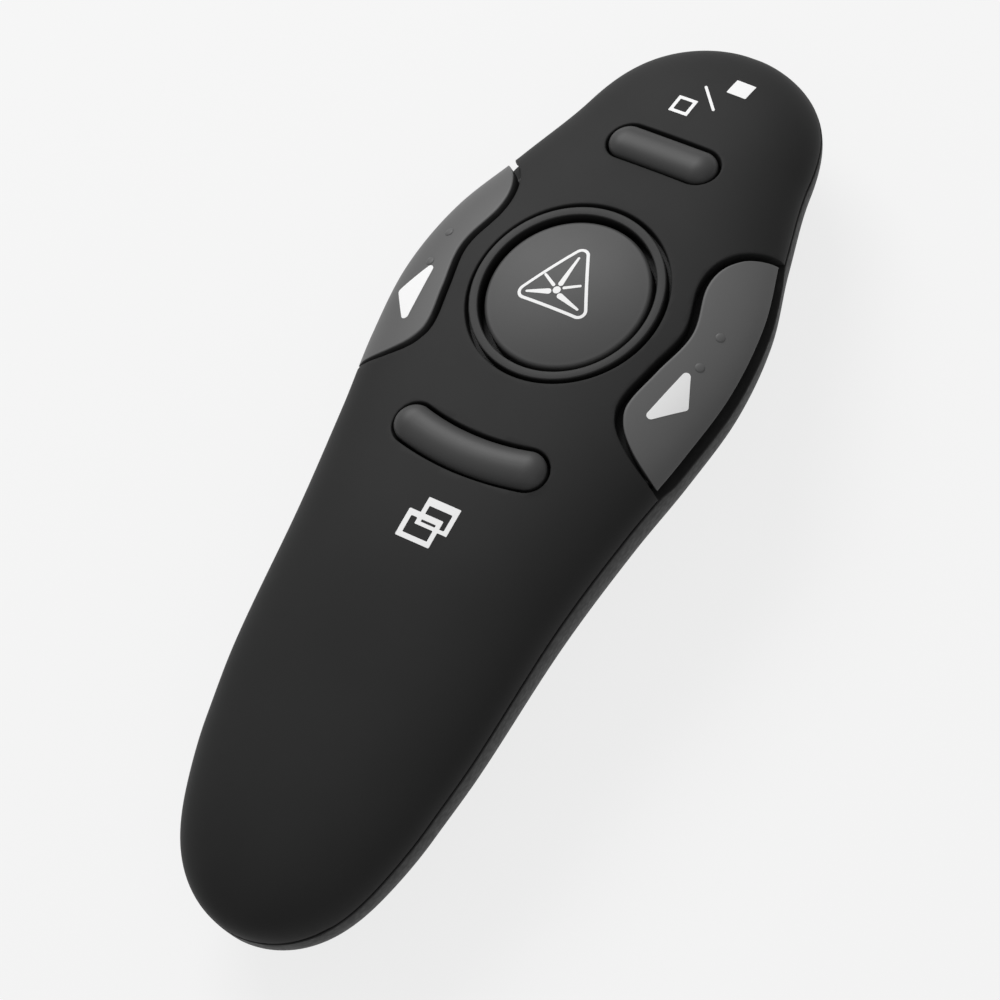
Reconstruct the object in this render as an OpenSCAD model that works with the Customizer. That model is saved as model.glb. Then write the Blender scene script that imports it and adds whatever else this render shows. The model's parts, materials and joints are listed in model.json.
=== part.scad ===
// Wireless presentation clicker with laser pointer, built as it comes apart on a bench.
// Millimetres. +Y points to the nose, where the laser leaves, +X to the right and +Z up.
// Inside the modules Y is the station: 0 at the tail and body_len at the nose.

/* [Body] */
// Length from the tail to the nose
body_len = 127; // [127:0.5:140]
// Length of the rounding at the tail
tail_round = 20.8; // [19:0.1:22]
// Length of the rounding at the nose
nose_round = 14.3; // [13.5:0.1:15.5]
// Length over which the belly rises to the nose
chin_round = 34; // [30:1:38]
// Wall thickness of both shells
wall = 2; // [1.8:0.1:2.2]
// Open joint between the shells
seam_gap = 0.2; // [0.1:0.05:0.3]
// Height of the bottom shell's lip behind the joint
lip_height = 1.3; // [1:0.1:1.5]
// How far the round belly would reach below its flat
keel_drop = 0.5; // [0.4:0.1:0.7]

/* [Plan half widths, from the tail to the nose] */
// Half width beside the tail
tail_half = 15.4; // [15.2:0.1:16]
// Half width in the palm
palm_half = 17.5; // [17.3:0.1:18]
// Half width at the waist
waist_half = 18.9; // [18.7:0.1:19.5]
// Half width in front of the waist
thumb_half = 20.9; // [20.6:0.1:21.4]
// Half width at the rear of the side keys
rear_wing_half = 22.8; // [22.6:0.1:23.2]
// Half width at the middle of the side keys
wing_half = 23.9; // [23.7:0.1:24.4]
// Half width at the front of the side keys
front_wing_half = 22.7; // [22.5:0.1:23.1]
// Half width at the neck
neck_half = 19.2; // [19:0.1:19.6]
// Half width beside the nose
nose_half = 15.8; // [15.6:0.1:16.2]

/* [Heights] */
// Height of the seam at the tail
seam_tail = 10.8; // [10.4:0.1:11.2]
// Height of the seam in the palm
seam_palm = 15; // [14.7:0.1:15.3]
// Height of the seam at the middle
seam_mid = 17; // [16.7:0.1:17.2]
// Height of the seam at the side keys
seam_wing = 16.5; // [16.3:0.1:16.7]
// Height of the seam at the nose
seam_nose = 11.2; // [10.9:0.1:11.5]
// Height of the crown at the tail
crown_tail = 17; // [16.8:0.1:17.5]
// Height of the crown in the palm
crown_palm = 20.6; // [20.4:0.1:21]
// Height of the crown at the middle
crown_mid = 23.6; // [23.4:0.1:24]
// Height of the crown behind the laser button
crown_wing = 23.4; // [23.2:0.1:23.8]
// Height of the crown at the neck
crown_neck = 21.6; // [21.4:0.1:22]
// Height of the crown at the nose
crown_nose = 16; // [15.8:0.1:16.5]

/* [Keys] */
// Radius of the laser button
laser_key_r = 10.35; // [9.8:0.05:10.4]
// Open gap around the laser button
laser_key_gap = 0.75; // [0.6:0.05:0.9]
// Width of the trim ring
ring_width = 1.3; // [1.1:0.1:1.5]
// Thickness of the trim ring
ring_thick = 1.6; // [1.4:0.1:1.8]
// Groove around the trim ring
ring_groove = 0.3; // [0.2:0.05:0.35]
// Half width of the blank and window buttons
bar_key_r = 2.5; // [2.3:0.05:2.6]
// Open gap around the blank and window buttons
bar_key_gap = 0.45; // [0.4:0.05:0.6]
// Half distance between the blank button's end centres
blank_key_reach = 5; // [4.5:0.1:5.3]
// Radius of the window button's centre line
window_key_bend = 35; // [32:1:40]
// Half distance between the window button's end centres
window_key_reach = 8.1; // [7.5:0.1:8.4]
// Open gap between a side key and the top shell
wing_gap = 1; // [0.8:0.05:1.1]
// Height of a side key's lower edge above the seam
wing_lift = 1.35; // [1.2:0.05:1.5]
// Thickness of a side key
wing_thick = 1.6; // [1.4:0.1:1.8]
// Travel of every push button
key_travel = 0.5; // [0.3:0.05:0.5]

/* [Electronics] */
// Thickness of the main board
board_thick = 1.2; // [1:0.1:1.4]
// Height of the main board's underside
board_z = 12.6; // [12.4:0.05:12.7]
// Side of a tactile switch
switch_side = 5.2; // [4.8:0.1:5.4]
// Height of a tactile switch's housing
switch_tall = 1.8; // [1.6:0.1:1.9]
// Radius of a tactile switch's plunger
plunger_r = 1.4; // [1.2:0.05:1.5]
// Radius of the laser barrel
barrel_r = 3.2; // [3:0.05:3.3]
// Length of the laser barrel
barrel_len = 12.8; // [12.5:0.1:13]

/* [Battery bay] */
// Radius of a cell
cell_r = 5.25; // [5:0.05:5.25]
// Length of a cell with its nub
cell_len = 44.5; // [43.5:0.1:44.5]
// Room for the contact at each end of the cells
contact_room = 1.55; // [1.4:0.05:1.6]
// Half width of the battery cover
cover_half = 10.85; // [10.7:0.05:11]
// Highest level that the battery cover reaches
cover_top = 6.3; // [6:0.1:6.4]
// Clearance around the battery cover
cover_gap = 0.2; // [0.15:0.05:0.3]

/* [Receiver] */
// Width of the receiver's case
receiver_w = 14.6; // [14:0.1:14.8]
// Length of the receiver's case
receiver_l = 7.2; // [6.5:0.1:7.5]
// Height of the receiver's case
receiver_h = 6.4; // [6:0.1:6.6]
// Width of the USB plug
plug_w = 12; // [12:0.1:12.1]
// Height of the USB plug
plug_h = 4.5; // [4.5:0.1:4.6]
// Length of the USB plug outside the case
plug_l = 11.8; // [11:0.1:12]

/* [Fits] */
// Clearance between pieces that stay put
fit_gap = 0.3; // [0.2:0.05:0.35]
// Radial clearance of a screw, pin or plunger in its hole
pin_gap = 0.05; // [0.03:0.01:0.1]
// Radius of a case screw's shank
screw_r = 1; // [0.9:0.05:1.1]

/* [Hidden] */

// Powers of the rounded shapes: dome across, dome up, belly, ends in height, chin
dome_across = 2.56;
dome_up = 2.07;
belly_power = 1.93;
end_power = 2.6;
chin_power = 2.2;
lap = wall / 2;
lap_gap = 0.15;
tip = 0.02;
rings = 44;
arcs = 18;
// How far a cut reaches past what it opens
past = 5;

plan = [
    [0, tail_half + 1.1],
    [14, tail_half],
    [30, palm_half],
    [48, waist_half],
    [body_len - 65, thumb_half],
    [body_len - 55, rear_wing_half],
    [body_len - 45, wing_half],
    [body_len - 35, front_wing_half],
    [body_len - 25, neck_half],
    [body_len - 13, nose_half],
    [body_len, nose_half + 0.1]
];
seam_line = [
    [0, seam_tail], [30, seam_palm], [body_len - 67, seam_mid], [body_len - 37, seam_wing],
    [body_len, seam_nose]
];
crown_line = [
    [0, crown_tail], [25, crown_palm], [50, crown_mid], [body_len - 52, crown_wing],
    [body_len - 27, crown_neck], [body_len, crown_nose]
];

// Stations of the keys
laser_key_s = body_len - 42.25;
blank_key_s = body_len - 19.9;
wing_switch = [17, body_len - 47];
wing_rear = body_len - 60.4;
wing_front = body_len - 26.2;
// Edge of the top shell beside a side key: station, then distance from the middle
wing_edge = [
    [wing_rear, 22.2], [body_len - 58, 17.6], [body_len - 55.5, 14.6], [body_len - 52.5, 13.5],
    [body_len - 47, 14.5], [body_len - 41, 15.7], [body_len - 35, 14.3], [body_len - 31.5, 14.9],
    [body_len - 28.5, 17.4], [wing_front, 20.6]
];
wing_lugs = [body_len - 50.5, body_len - 34];

// Radii around the laser button
ring_in_r = laser_key_r + laser_key_gap;
ring_out_r = ring_in_r + ring_width;
seat_r = ring_out_r + ring_groove;
collar_r = seat_r + 1.2;
ring_drop = 0.4;
ledge_thick = 1.2;
flange_thick = 1;

// Levels on the main board
board_top = board_z + board_thick;
housing_top = board_top + switch_tall;
plunger_rise = key_travel + 0.2;
plunger_top = housing_top + plunger_rise;
stem_r = 1.5;

// Battery bay
bay_rear = 12.4;
bay_len = cell_len + 2 * contact_room;
bay_front = bay_rear + bay_len;
bay_wall = 1.2;
cell_x = cell_r + fit_gap / 2;
cell_z = 8.9;
bay_half = cell_x + cell_r + fit_gap;
bay_roof = cell_z + cell_r + fit_gap;
roof_thick = 1;
cover_front = bay_front - fit_gap;
rail_len = 17;
rail_out = 0.9;
rail_z = [cover_top - 1.2, cover_top - 0.5];
latch_half = 4;
latch_z = [1.6, 2.6];
grip_half = 5;
grip_pitch = 1.8;
grip_cut = 0.8;
grip_deep = 0.4;
grip_rear = cover_front - 13;
window_key_s = bay_front + 1;
window_switch_s = window_key_s + 3.3;
plate_thick = 0.4;
tab = [4.5, 6.5];
cell_rear = bay_rear + contact_room;
cell_front = cell_rear + cell_len;

// Main board outline, on the right of the middle
board_rear = bay_front + bay_wall + cover_gap;
board_front = body_len - 16.6;
board_half = [
    [11, board_rear], [11, board_rear + 8], [15.5, body_len - 53.5], [19.6, body_len - 50],
    [19.6, body_len - 37], [15.5, body_len - 31.5], [10.6, body_len - 28.8], [10.6, board_front]
];
post_r = 1.6;
post_pin_r = 0.9;
posts = [[13, body_len - 51.5], [12.5, body_len - 33.5]];

// Case screws: place, then levels
screws = [[15.1, body_len - 61.5], [14, body_len - 25.5]];
boss_r = 2.9;
screw_seat = 8.5;
boss_split = 10.5;
head_r = 1.9;
head_tall = 1.3;
shank_len = 6.8;
drive_cut = [2.2, 0.5, 1.2];

// Receiver pocket
receiver_low = 0.4;
pocket_half = receiver_w / 2 + fit_gap;
pocket_rear = bay_front + 6.2;
receiver_rear = pocket_rear + 2;
receiver_front = receiver_rear + receiver_l;
plug_front = receiver_front + plug_l;
pocket_front = plug_front + 0.8;
pocket_roof = receiver_low + receiver_h + 0.6;
pocket_wall = 1.2;
scoop_r = 3.4;
scoop_z = -1.6;
scoop_half = 5;
receiver_mid_z = receiver_low + receiver_h / 2;
receiver_wall = 1.2;
receiver_edge = 1;
plug_wall = 0.3;
plug_inside = 2;
plug_hole = 2.3;
plug_hole_x = 2.9;
plug_hole_s = 5.5;
tongue_thick = 1.9;
contact_pitch = 2.3;
contact_w = 1;
contact_thick = 0.12;

// On/off switch
power_s = body_len - 28;
power_travel = 2.5;
power_body = [3.6, 8.6, 3.4];
lever_side = 1.2;
slider_size = [5.2, 5];
recess_deep = 1.6;
pad_thick = 1.6;
slot_half = 1.5;
slider_neck = 2.4;

// Laser
laser_z = 11;
barrel_front = body_len - 3.4;
barrel_rear = barrel_front - barrel_len;
lens_r = 2.3;
aperture_r = 2;
light_r = 1.3;
bezel_rear = body_len - 2.8;
bezel_front = body_len - 1.6;
driver_size = [6.4, 6.2, 1];
driver_s = barrel_rear - 0.2 - driver_size[1];
rib_thick = 1.2;
rib_half = 4.6;
rib_stations = [barrel_rear + 2.4, barrel_front - 3];

// What the aperture takes off the nose, and so the middle of the whole length
aperture_loss = nose_round * (1 - sqrt(1 - pow(aperture_r / nose_half, 2)));
middle = (body_len - aperture_loss) / 2;

// ---- Shape of the body ----

function slope_at(p, i) =
    let (a = max(i - 1, 0), b = min(i + 1, len(p) - 1))
    (p[b][1] - p[a][1]) / (p[b][0] - p[a][0]);

function span_of(p, s, i = 0) = (i >= len(p) - 2 || s < p[i + 1][0]) ? i : span_of(p, s, i + 1);

// Smooth curve through points of station and value
function curve(p, s) =
    let (i = span_of(p, s), h = p[i + 1][0] - p[i][0], t = (s - p[i][0]) / h)
    (2 * pow(t, 3) - 3 * t * t + 1) * p[i][1] + (pow(t, 3) - 2 * t * t + t) * h * slope_at(p, i)
    + (3 * t * t - 2 * pow(t, 3)) * p[i + 1][1] + (pow(t, 3) - t * t) * h * slope_at(p, i + 1);

// Share of the full size at distance d from an end that is round over length r
function end_share(d, r, e) = pow(max(0, 1 - pow(max(0, 1 - d / r), e)), 1 / e);

function seam_z(s) = curve(seam_line, s);

function half_w(s, inset = 0) =
    (curve(plan, s) - inset) * end_share(s - inset, tail_round - inset, 2)
    * end_share(body_len - inset - s, nose_round - inset, 2);

function dome_h(s, inset = 0) =
    (curve(crown_line, s) - seam_z(s) - inset) * end_share(s - inset, tail_round - inset, end_power)
    * end_share(body_len - inset - s, nose_round - inset, end_power);

function belly_h(s, inset = 0) =
    (seam_z(s) + keel_drop - inset) * end_share(s - inset, tail_round - inset, end_power)
    * end_share(body_len - inset - s, chin_round - inset, chin_power);

function dome_share(r) = pow(max(0, 1 - pow(abs(r), dome_across)), 1 / dome_up);

function dome_reach(h) = pow(max(0, 1 - pow(h, dome_up)), 1 / dome_across);

function belly_share(r) = pow(max(0, 1 - pow(abs(r), belly_power)), 1 / belly_power);

function top_z(x, s, inset = 0) = seam_z(s) + dome_h(s, inset) * dome_share(x / half_w(s, inset));

// Downward slope of the crown towards the nose, in degrees
function crown_tilt(s) = atan((top_z(0, s - 1) - top_z(0, s + 1)) / 2);

// ---- Lofted shells ----

// Share of the length at ring i, closer together at the ends
function ring_share(i) = tip / body_len + (1 - 2 * tip / body_len) * (1 - cos(180 * i / rings)) / 2;

function station(u, inset) = inset + u * (body_len - 2 * inset);

function ledge_h(s) = min(lip_height + lap_gap, 0.5 * dome_h(s, wall));

// The bottom shell's lip stays low where a side key passes over it
function lip_h(s) =
    ledge_h(s) * lip_height / (lip_height + lap_gap) * (s > wing_rear - 4 && s < wing_front + 4 ? 0.1 : 1);

function edge_point(u, inset, side, rise) =
    let (s = station(u, inset)) [side * half_w(s, inset), s, seam_z(s) + rise];

function dome_arc(u, inset, side, reach = 1) =
    let (s = station(u, inset))
    [
        for (j = [0:arcs])
            let (r = side * reach * cos(180 * j / arcs))
            [half_w(s, inset) * r, s, seam_z(s) + dome_h(s, inset) * dome_share(r)]
    ];

function belly_arc(u, inset, side) =
    let (s = station(u, inset))
    [
        for (j = [0:arcs])
            let (r = side * cos(180 * j / arcs))
            [half_w(s, inset) * r, s, seam_z(s) - seam_gap - belly_h(s, inset) * belly_share(r)]
    ];

function top_ring(u) =
    let (s = station(u, wall), h = ledge_h(s))
    concat(
        dome_arc(u, 0, 1),
        [edge_point(u, lap, -1, 0), edge_point(u, lap, -1, h)],
        dome_arc(u, wall, -1, dome_reach(h / dome_h(s, wall))),
        [edge_point(u, lap, 1, h), edge_point(u, lap, 1, 0)]
    );

function bottom_ring(u) =
    let (h = lip_h(station(u, wall)), inset = lap + lap_gap)
    concat(
        belly_arc(u, 0, -1),
        [edge_point(u, inset, 1, -seam_gap), edge_point(u, inset, 1, h), edge_point(u, wall, 1, h)],
        belly_arc(u, wall, 1),
        [edge_point(u, wall, -1, h), edge_point(u, inset, -1, h), edge_point(u, inset, -1, -seam_gap)]
    );

// Two triangles between the corners of a four-sided face
function split(q) = [[q[0], q[1], q[2]], [q[0], q[2], q[3]]];

// Sides of a loft of n rings with k points each
function loft_sides(n, k) = [
    for (i = [0:n - 2], j = [0:k - 1], f = split([
        i * k + j, i * k + (j + 1) % k, (i + 1) * k + (j + 1) % k, (i + 1) * k + j
    ])) f
];

// End of a loft whose rings hold an outer arc, c edge points, an inner arc and c edge points
function shell_end(e, k, c) = concat(
    [[for (j = [arcs:-1:0]) e + j]],
    [[for (j = [arcs:-1:0]) e + arcs + 1 + c + j]],
    [
        for (q = [0:c])
            [e + arcs + q + 1, e + arcs + q, e + (q == 0 ? 0 : k - q), e + k - q - 1]
    ]
);

function flipped(faces) = [for (f = faces) [for (j = [len(f) - 1:-1:0]) f[j]]];

module shell_loft(ring_list, c) {
    k = 2 * (arcs + 1) + 2 * c;
    polyhedron(
        points = [for (r = ring_list, p = r) p],
        faces = concat(
            loft_sides(len(ring_list), k),
            shell_end(0, k, c),
            flipped(shell_end((len(ring_list) - 1) * k, k, c))
        )
    );
}

module solid_loft(ring_list) {
    k = len(ring_list[0]);
    n = len(ring_list);
    polyhedron(
        points = [for (r = ring_list, p = r) p],
        faces = concat(
            loft_sides(n, k),
            [[for (j = [k - 1:-1:0]) j]],
            [[for (j = [0:k - 1]) (n - 1) * k + j]]
        )
    );
}

// The room between the shells, inset from the dome and from the belly
module inner_room(dome_inset, belly_inset) {
    inset = max(dome_inset, belly_inset);
    count = 26;
    steps = 12;
    solid_loft([
        for (i = [0:count])
            let (s = inset + 0.3 + (body_len - 2 * inset - 0.6) * (1 - cos(180 * i / count)) / 2)
            concat(
                [
                    for (j = [0:steps])
                        let (r = cos(180 * j / steps))
                        [
                            half_w(s, dome_inset) * r, s,
                            seam_z(s) + 0.01 + dome_h(s, dome_inset) * dome_share(r)
                        ]
                ],
                [
                    for (j = [0:steps])
                        let (r = -cos(180 * j / steps))
                        [half_w(s, belly_inset) * r, s, seam_z(s) - belly_h(s, belly_inset) * belly_share(r)]
                ]
            )
    ]);
}

// ---- Helpers ----

// Puts stations on the part's own frame, with its origin under the middle of the body
module place() {
    translate([0, -middle, 0]) children();
}

module both_sides() {
    children();
    mirror([1, 0, 0]) children();
}

// A frame on the crown at station s, tilted with it
module on_crown(s) {
    translate([0, s, top_z(0, s)]) rotate([-crown_tilt(s), 0, 0]) children();
}

// A cylinder along Y from station a to station b
module along(a, b, r, x = 0, z = laser_z) {
    translate([x, a, z]) rotate([-90, 0, 0]) cylinder(h = b - a, r = r, $fn = 48);
}

module block(x, y, z) {
    translate([x[0], y[0], z[0]]) cube([x[1] - x[0], y[1] - y[0], z[1] - z[0]]);
}

module post(x, y, z0, z1, r) {
    translate([x, y, z0]) cylinder(h = z1 - z0, r = r, $fn = 32);
}

// Oblong bar of half width r between the blank button's end centres
module oblong(r, z0, z1) {
    block([-blank_key_reach, blank_key_reach], [-r, r], [z0, z1]);
    for (x = [-blank_key_reach, blank_key_reach]) post(x, 0, z0, z1, r);
}

// Sector of the window button's ring, turned about the centre of its bend
window_angle = asin(window_key_reach / window_key_bend);

module bend() {
    translate([0, window_key_bend, 0]) children();
}

module curved_bar(r, z0, z1) {
    bend() rotate_extrude(angle = 2 * window_angle, start = 270 - window_angle, $fn = 96)
        translate([window_key_bend - r, z0]) square([2 * r, z1 - z0]);
    for (a = [-window_angle, window_angle])
        bend() rotate([0, 0, a]) post(0, -window_key_bend, z0, z1, r);
}

// Point beside the window button's centre line: distance along it, then to the side
function bent(along_it, aside) =
    let (a = 180 / PI * along_it / window_key_bend)
    [(window_key_bend + aside) * sin(a), window_key_bend - (window_key_bend + aside) * cos(a)];

window_half_arc = window_angle * PI / 180 * window_key_bend;

// ---- Case ----

// Plan of the opening for the right-hand side key, grown outwards to past the body
module wing_window() {
    steps = 28;
    translate([0, 0, seam_z(wing_rear) - past]) linear_extrude(height = crown_mid) polygon(concat(
        [
            for (i = [0:steps])
                let (s = wing_rear + (wing_front - wing_rear) * i / steps)
                [curve(wing_edge, s), s]
        ],
        [[wing_half + past, wing_front + 0.8], [wing_half + past, wing_rear - 0.8]]
    ));
}

// Collar around the nose's bezel, parted between the shells at the seam
nose_part_z = seam_z(barrel_front + 0.7);

module nose_collar(front, low, high) {
    intersection() {
        along(barrel_front + 0.2, front, aperture_r + 1.2);
        block([-aperture_r - 2, aperture_r + 2], [barrel_front, body_len], [low, high]);
    }
}

module top_shell() {
    color("#1d1d1f") place() difference() {
        union() {
            shell_loft([for (i = [0:rings]) top_ring(ring_share(i))], 2);
            intersection() {
                inner_room(wall / 2, wall + fit_gap);
                union() {
                    on_crown(laser_key_s) post(0, 0, -ring_drop - ring_thick - ledge_thick, -1.3, collar_r);
                    both_sides() for (p = screws) post(p[0], p[1], boss_split + 0.1, crown_mid, boss_r);
                    for (s = rib_stations)
                        block([-rib_half, rib_half], [s, s + rib_thick], [laser_z + 0.2, crown_mid]);
                }
            }
            nose_collar(body_len - wall - 0.5, nose_part_z + 0.1, crown_nose);
        }
        on_crown(laser_key_s) post(0, 0, -ring_drop - ring_thick, past, seat_r);
        on_crown(laser_key_s) post(0, 0, -past, past, ring_in_r + 0.2);
        on_crown(blank_key_s) oblong(bar_key_r + bar_key_gap, -past, past);
        on_crown(window_key_s) curved_bar(bar_key_r + bar_key_gap, -past, past);
        both_sides() wing_window();
        both_sides() for (p = screws) post(p[0], p[1], 0, screw_seat + shank_len + 0.4, screw_r + pin_gap);
        along(barrel_rear, barrel_front + 0.2, barrel_r + pin_gap);
        along(barrel_front, bezel_rear + 0.1, light_r);
        along(bezel_rear, body_len + 1, aperture_r);
    }
}

// Solid features inside the bottom shell, before they are trimmed to its belly
module bottom_features() {
    block(
        [-bay_half - bay_wall, bay_half + bay_wall],
        [bay_rear - bay_wall, bay_front + bay_wall],
        [0, bay_roof + roof_thick]
    );
    block(
        [-pocket_half - pocket_wall, pocket_half + pocket_wall],
        [pocket_rear - pocket_wall, pocket_front + pocket_wall],
        [0, pocket_roof + pocket_wall]
    );
    block([-6, 6], [power_s - 7.6, power_s + 7.6], [0, recess_deep + pad_thick]);
    both_sides() for (p = screws) post(p[0], p[1], 0, boss_split, boss_r);
    both_sides() for (p = posts) {
        post(p[0], p[1], 0, board_z, post_r);
        post(p[0], p[1], board_z - 0.1, board_top + 0.4, post_pin_r);
    }
    for (s = rib_stations) block([-rib_half, rib_half], [s, s + rib_thick], [0, laser_z - 0.2]);
}

// Rails of the battery cover, grown by a clearance
module cover_rails(gap, rear) {
    both_sides() block(
        [cover_half - wall / 2, cover_half + rail_out + gap], [rear, cover_front - 3 + gap],
        [rail_z[0] - gap, rail_z[1] + gap]
    );
}

// Tongue that holds the cover's front end, grown by a clearance
module cover_tongue(gap) {
    block([-latch_half - gap, latch_half + gap], [cover_front - wall, cover_front + wall + gap],
        [latch_z[0] - gap, latch_z[1] + gap]);
}

// Room for the on/off slider's whole travel around a piece of the given width and length
module slide_room(size, levels) {
    block([-size[0] / 2 - fit_gap, size[0] / 2 + fit_gap],
        [power_s - size[1] / 2 - fit_gap, power_s + size[1] / 2 + power_travel + fit_gap], levels);
}

// What lies below the flat that the case rests on
module under_the_flat() {
    block([-wing_half - past, wing_half + past], [-1, body_len + 1], [-past, 0]);
}

module bottom_shell() {
    color("#161618") place() difference() {
        union() {
            shell_loft([for (i = [0:rings]) bottom_ring(ring_share(i))], 3);
            intersection() {
                inner_room(wall + fit_gap, wall / 2);
                bottom_features();
            }
            nose_collar(body_len - wall + 0.4, 0, nose_part_z - seam_gap - 0.1);
        }
        under_the_flat();
        // Opening that the battery cover closes, and the bay above it
        block([-cover_half - cover_gap, cover_half + cover_gap], [-1, cover_front + cover_gap],
            [-past, cover_top + cover_gap]);
        block([-bay_half, bay_half], [bay_rear, bay_front], [-past, bay_roof]);
        cover_rails(cover_gap, -1);
        cover_tongue(cover_gap);
        both_sides() block([tab[0] - fit_gap, tab[1] + fit_gap],
            [bay_front - 0.1, bay_front + bay_wall + 0.1],
            [board_top - cover_gap, board_top + plate_thick + cover_gap]);
        // Receiver pocket, narrower beside the plug, and the finger scoop behind it
        block([-pocket_half, pocket_half], [pocket_rear, receiver_front + fit_gap], [-past, pocket_roof]);
        block([-plug_w / 2 - cover_gap, plug_w / 2 + cover_gap], [receiver_front, pocket_front],
            [-past, pocket_roof]);
        translate([-scoop_half, pocket_rear + 0.5, scoop_z]) rotate([0, 90, 0])
            cylinder(h = 2 * scoop_half, r = scoop_r, $fn = 48);
        // Recess and slot of the on/off slider
        slide_room([slider_size[0], slider_size[1]], [-1, recess_deep]);
        slide_room([2 * (slot_half - fit_gap), slider_neck], [0, past]);
        both_sides() for (p = screws) {
            post(p[0], p[1], -1, screw_seat, head_r + cover_gap);
            post(p[0], p[1], 0, boss_split + 1, screw_r + pin_gap);
        }
        along(barrel_rear, barrel_front + 0.2, barrel_r + pin_gap);
        along(barrel_front, bezel_rear + 0.1, light_r);
        along(bezel_rear, body_len + 1, aperture_r);
    }
}

module battery_cover() {
    color("#161618") place() difference() {
        union() {
            intersection() {
                shell_loft([for (i = [0:rings]) bottom_ring(ring_share(i))], 3);
                block([-cover_half, cover_half], [-1, cover_front], [-past, cover_top]);
            }
            cover_rails(0, cover_front - 3 - rail_len);
            cover_tongue(0);
        }
        under_the_flat();
        for (x = [-cell_x, cell_x]) along(bay_rear, body_len, cell_r + fit_gap, x, cell_z);
        // Thumb grip
        for (i = [0:4]) block([-grip_half, grip_half],
            [grip_rear + grip_pitch * i, grip_rear + grip_cut + grip_pitch * i], [-1, grip_deep]);
    }
}

module case_screws() {
    color("#8d8f92") place() both_sides() for (p = screws) difference() {
        union() {
            post(p[0], p[1], screw_seat - head_tall, screw_seat, head_r);
            post(p[0], p[1], screw_seat - 0.1, screw_seat + shank_len, screw_r);
        }
        for (a = [0, 90]) translate([p[0], p[1], screw_seat - head_tall]) rotate([0, 0, a])
            cube(drive_cut, center = true);
    }
}

module trim_ring() {
    color("#232325") place() on_crown(laser_key_s) translate([0, 0, -ring_drop - ring_thick])
        rotate_extrude($fn = 96) polygon([
            [ring_in_r, 0],
            [ring_out_r, 0],
            [ring_out_r, ring_thick - 0.35],
            [ring_out_r - 0.35, ring_thick],
            [ring_in_r + 0.35, ring_thick],
            [ring_in_r, ring_thick - 0.35]
        ]);
}

// ---- Push buttons ----

// Stem from a button's underside down to its switch's plunger
module stem(x, s, top) {
    post(x, s, plunger_top, top, stem_r);
}

module laser_button() {
    rim = -ring_drop - 0.3;
    rise = 0.95;
    dome_r = (laser_key_r * laser_key_r + rise * rise) / (2 * rise);
    flange_top = -ring_drop - ring_thick - ledge_thick - fit_gap;
    color("#3a3a3d") place() {
        on_crown(laser_key_s) difference() {
            intersection() {
                union() {
                    post(0, 0, flange_top - 0.1, rim + rise, laser_key_r);
                    post(0, 0, flange_top - flange_thick, flange_top, ring_in_r + 0.9);
                }
                translate([0, 0, rim + rise - dome_r]) sphere(r = dome_r, $fn = 128);
            }
            post(0, 0, flange_top - flange_thick - 1, rim - 1.4, laser_key_r - 1.3);
        }
        stem(0, laser_key_s, top_z(0, laser_key_s) - ring_drop - 1.2);
    }
}

// Height of the bar buttons' crest above the shell
bar_crest = 0.9;
bar_flange_thick = 0.8;
bar_flange_r = bar_key_r + bar_key_gap + 0.5;

// Top of a bar button's flange at station s, which clears the shell out to half width reach
function bar_flange_top(s, reach) = top_z(reach, s) - top_z(0, s) - wall - fit_gap - 0.05;

module blank_button() {
    flange_top = bar_flange_top(blank_key_s, blank_key_reach + bar_flange_r);
    color("#343437") place() {
        on_crown(blank_key_s) {
            oblong(bar_key_r, flange_top - bar_flange_thick, bar_crest - bar_key_r);
            oblong(bar_flange_r, flange_top - bar_flange_thick, flange_top);
            translate([0, 0, bar_crest - bar_key_r]) {
                rotate([0, 90, 0]) cylinder(h = 2 * blank_key_reach, r = bar_key_r, center = true, $fn = 48);
                for (x = [-blank_key_reach, blank_key_reach])
                    translate([x, 0, 0]) sphere(r = bar_key_r, $fn = 48);
            }
        }
        stem(0, blank_key_s, top_z(0, blank_key_s) - wall);
    }
}

// Bar with round ends along the window button's centre line, and a round crest over z1
module bent_body(r, z0, z1) {
    steps = 30;
    cols = 12;
    reach = window_half_arc + r - 0.01;
    solid_loft([
        for (i = [0:steps])
            let (
                d = -reach * cos(180 * i / steps),
                over = max(0, abs(d) - window_half_arc),
                hw = sqrt(r * r - over * over)
            )
            concat(
                [
                    for (j = [0:cols])
                        let (x = hw * cos(180 * j / cols), p = bent(d, x))
                        [p[0], p[1], z1 + sqrt(max(0, hw * hw - x * x))]
                ],
                [for (x = [-hw, hw]) let (p = bent(d, x)) [p[0], p[1], z0]]
            )
    ]);
}

module bent_plate(r, z0, z1) {
    steps = 16;
    translate([0, 0, z0]) linear_extrude(height = z1 - z0) polygon(concat(
        [for (i = [-steps:steps]) bent(i / steps * window_half_arc, r)],
        [for (i = [1:7]) bent(window_half_arc + r * sin(22.5 * i), r * cos(22.5 * i))],
        [for (i = [-steps:steps]) bent(-i / steps * window_half_arc, -r)],
        [for (i = [1:7]) bent(-window_half_arc - r * sin(22.5 * i), -r * cos(22.5 * i))]
    ));
}

module window_button() {
    flange_top = bar_flange_top(window_key_s, window_key_reach + bar_flange_r);
    flange_low = flange_top - bar_flange_thick;
    color("#343437") place() {
        on_crown(window_key_s) {
            bent_body(bar_key_r, flange_low, bar_crest - bar_key_r);
            bent_plate(bar_flange_r, flange_low, flange_top);
            block([-2.2, 2.2], [0, window_switch_s - window_key_s + 1.8], [flange_low, flange_top]);
        }
        stem(0, window_switch_s, top_z(0, window_switch_s) + flange_top - 0.3);
    }
}

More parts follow.
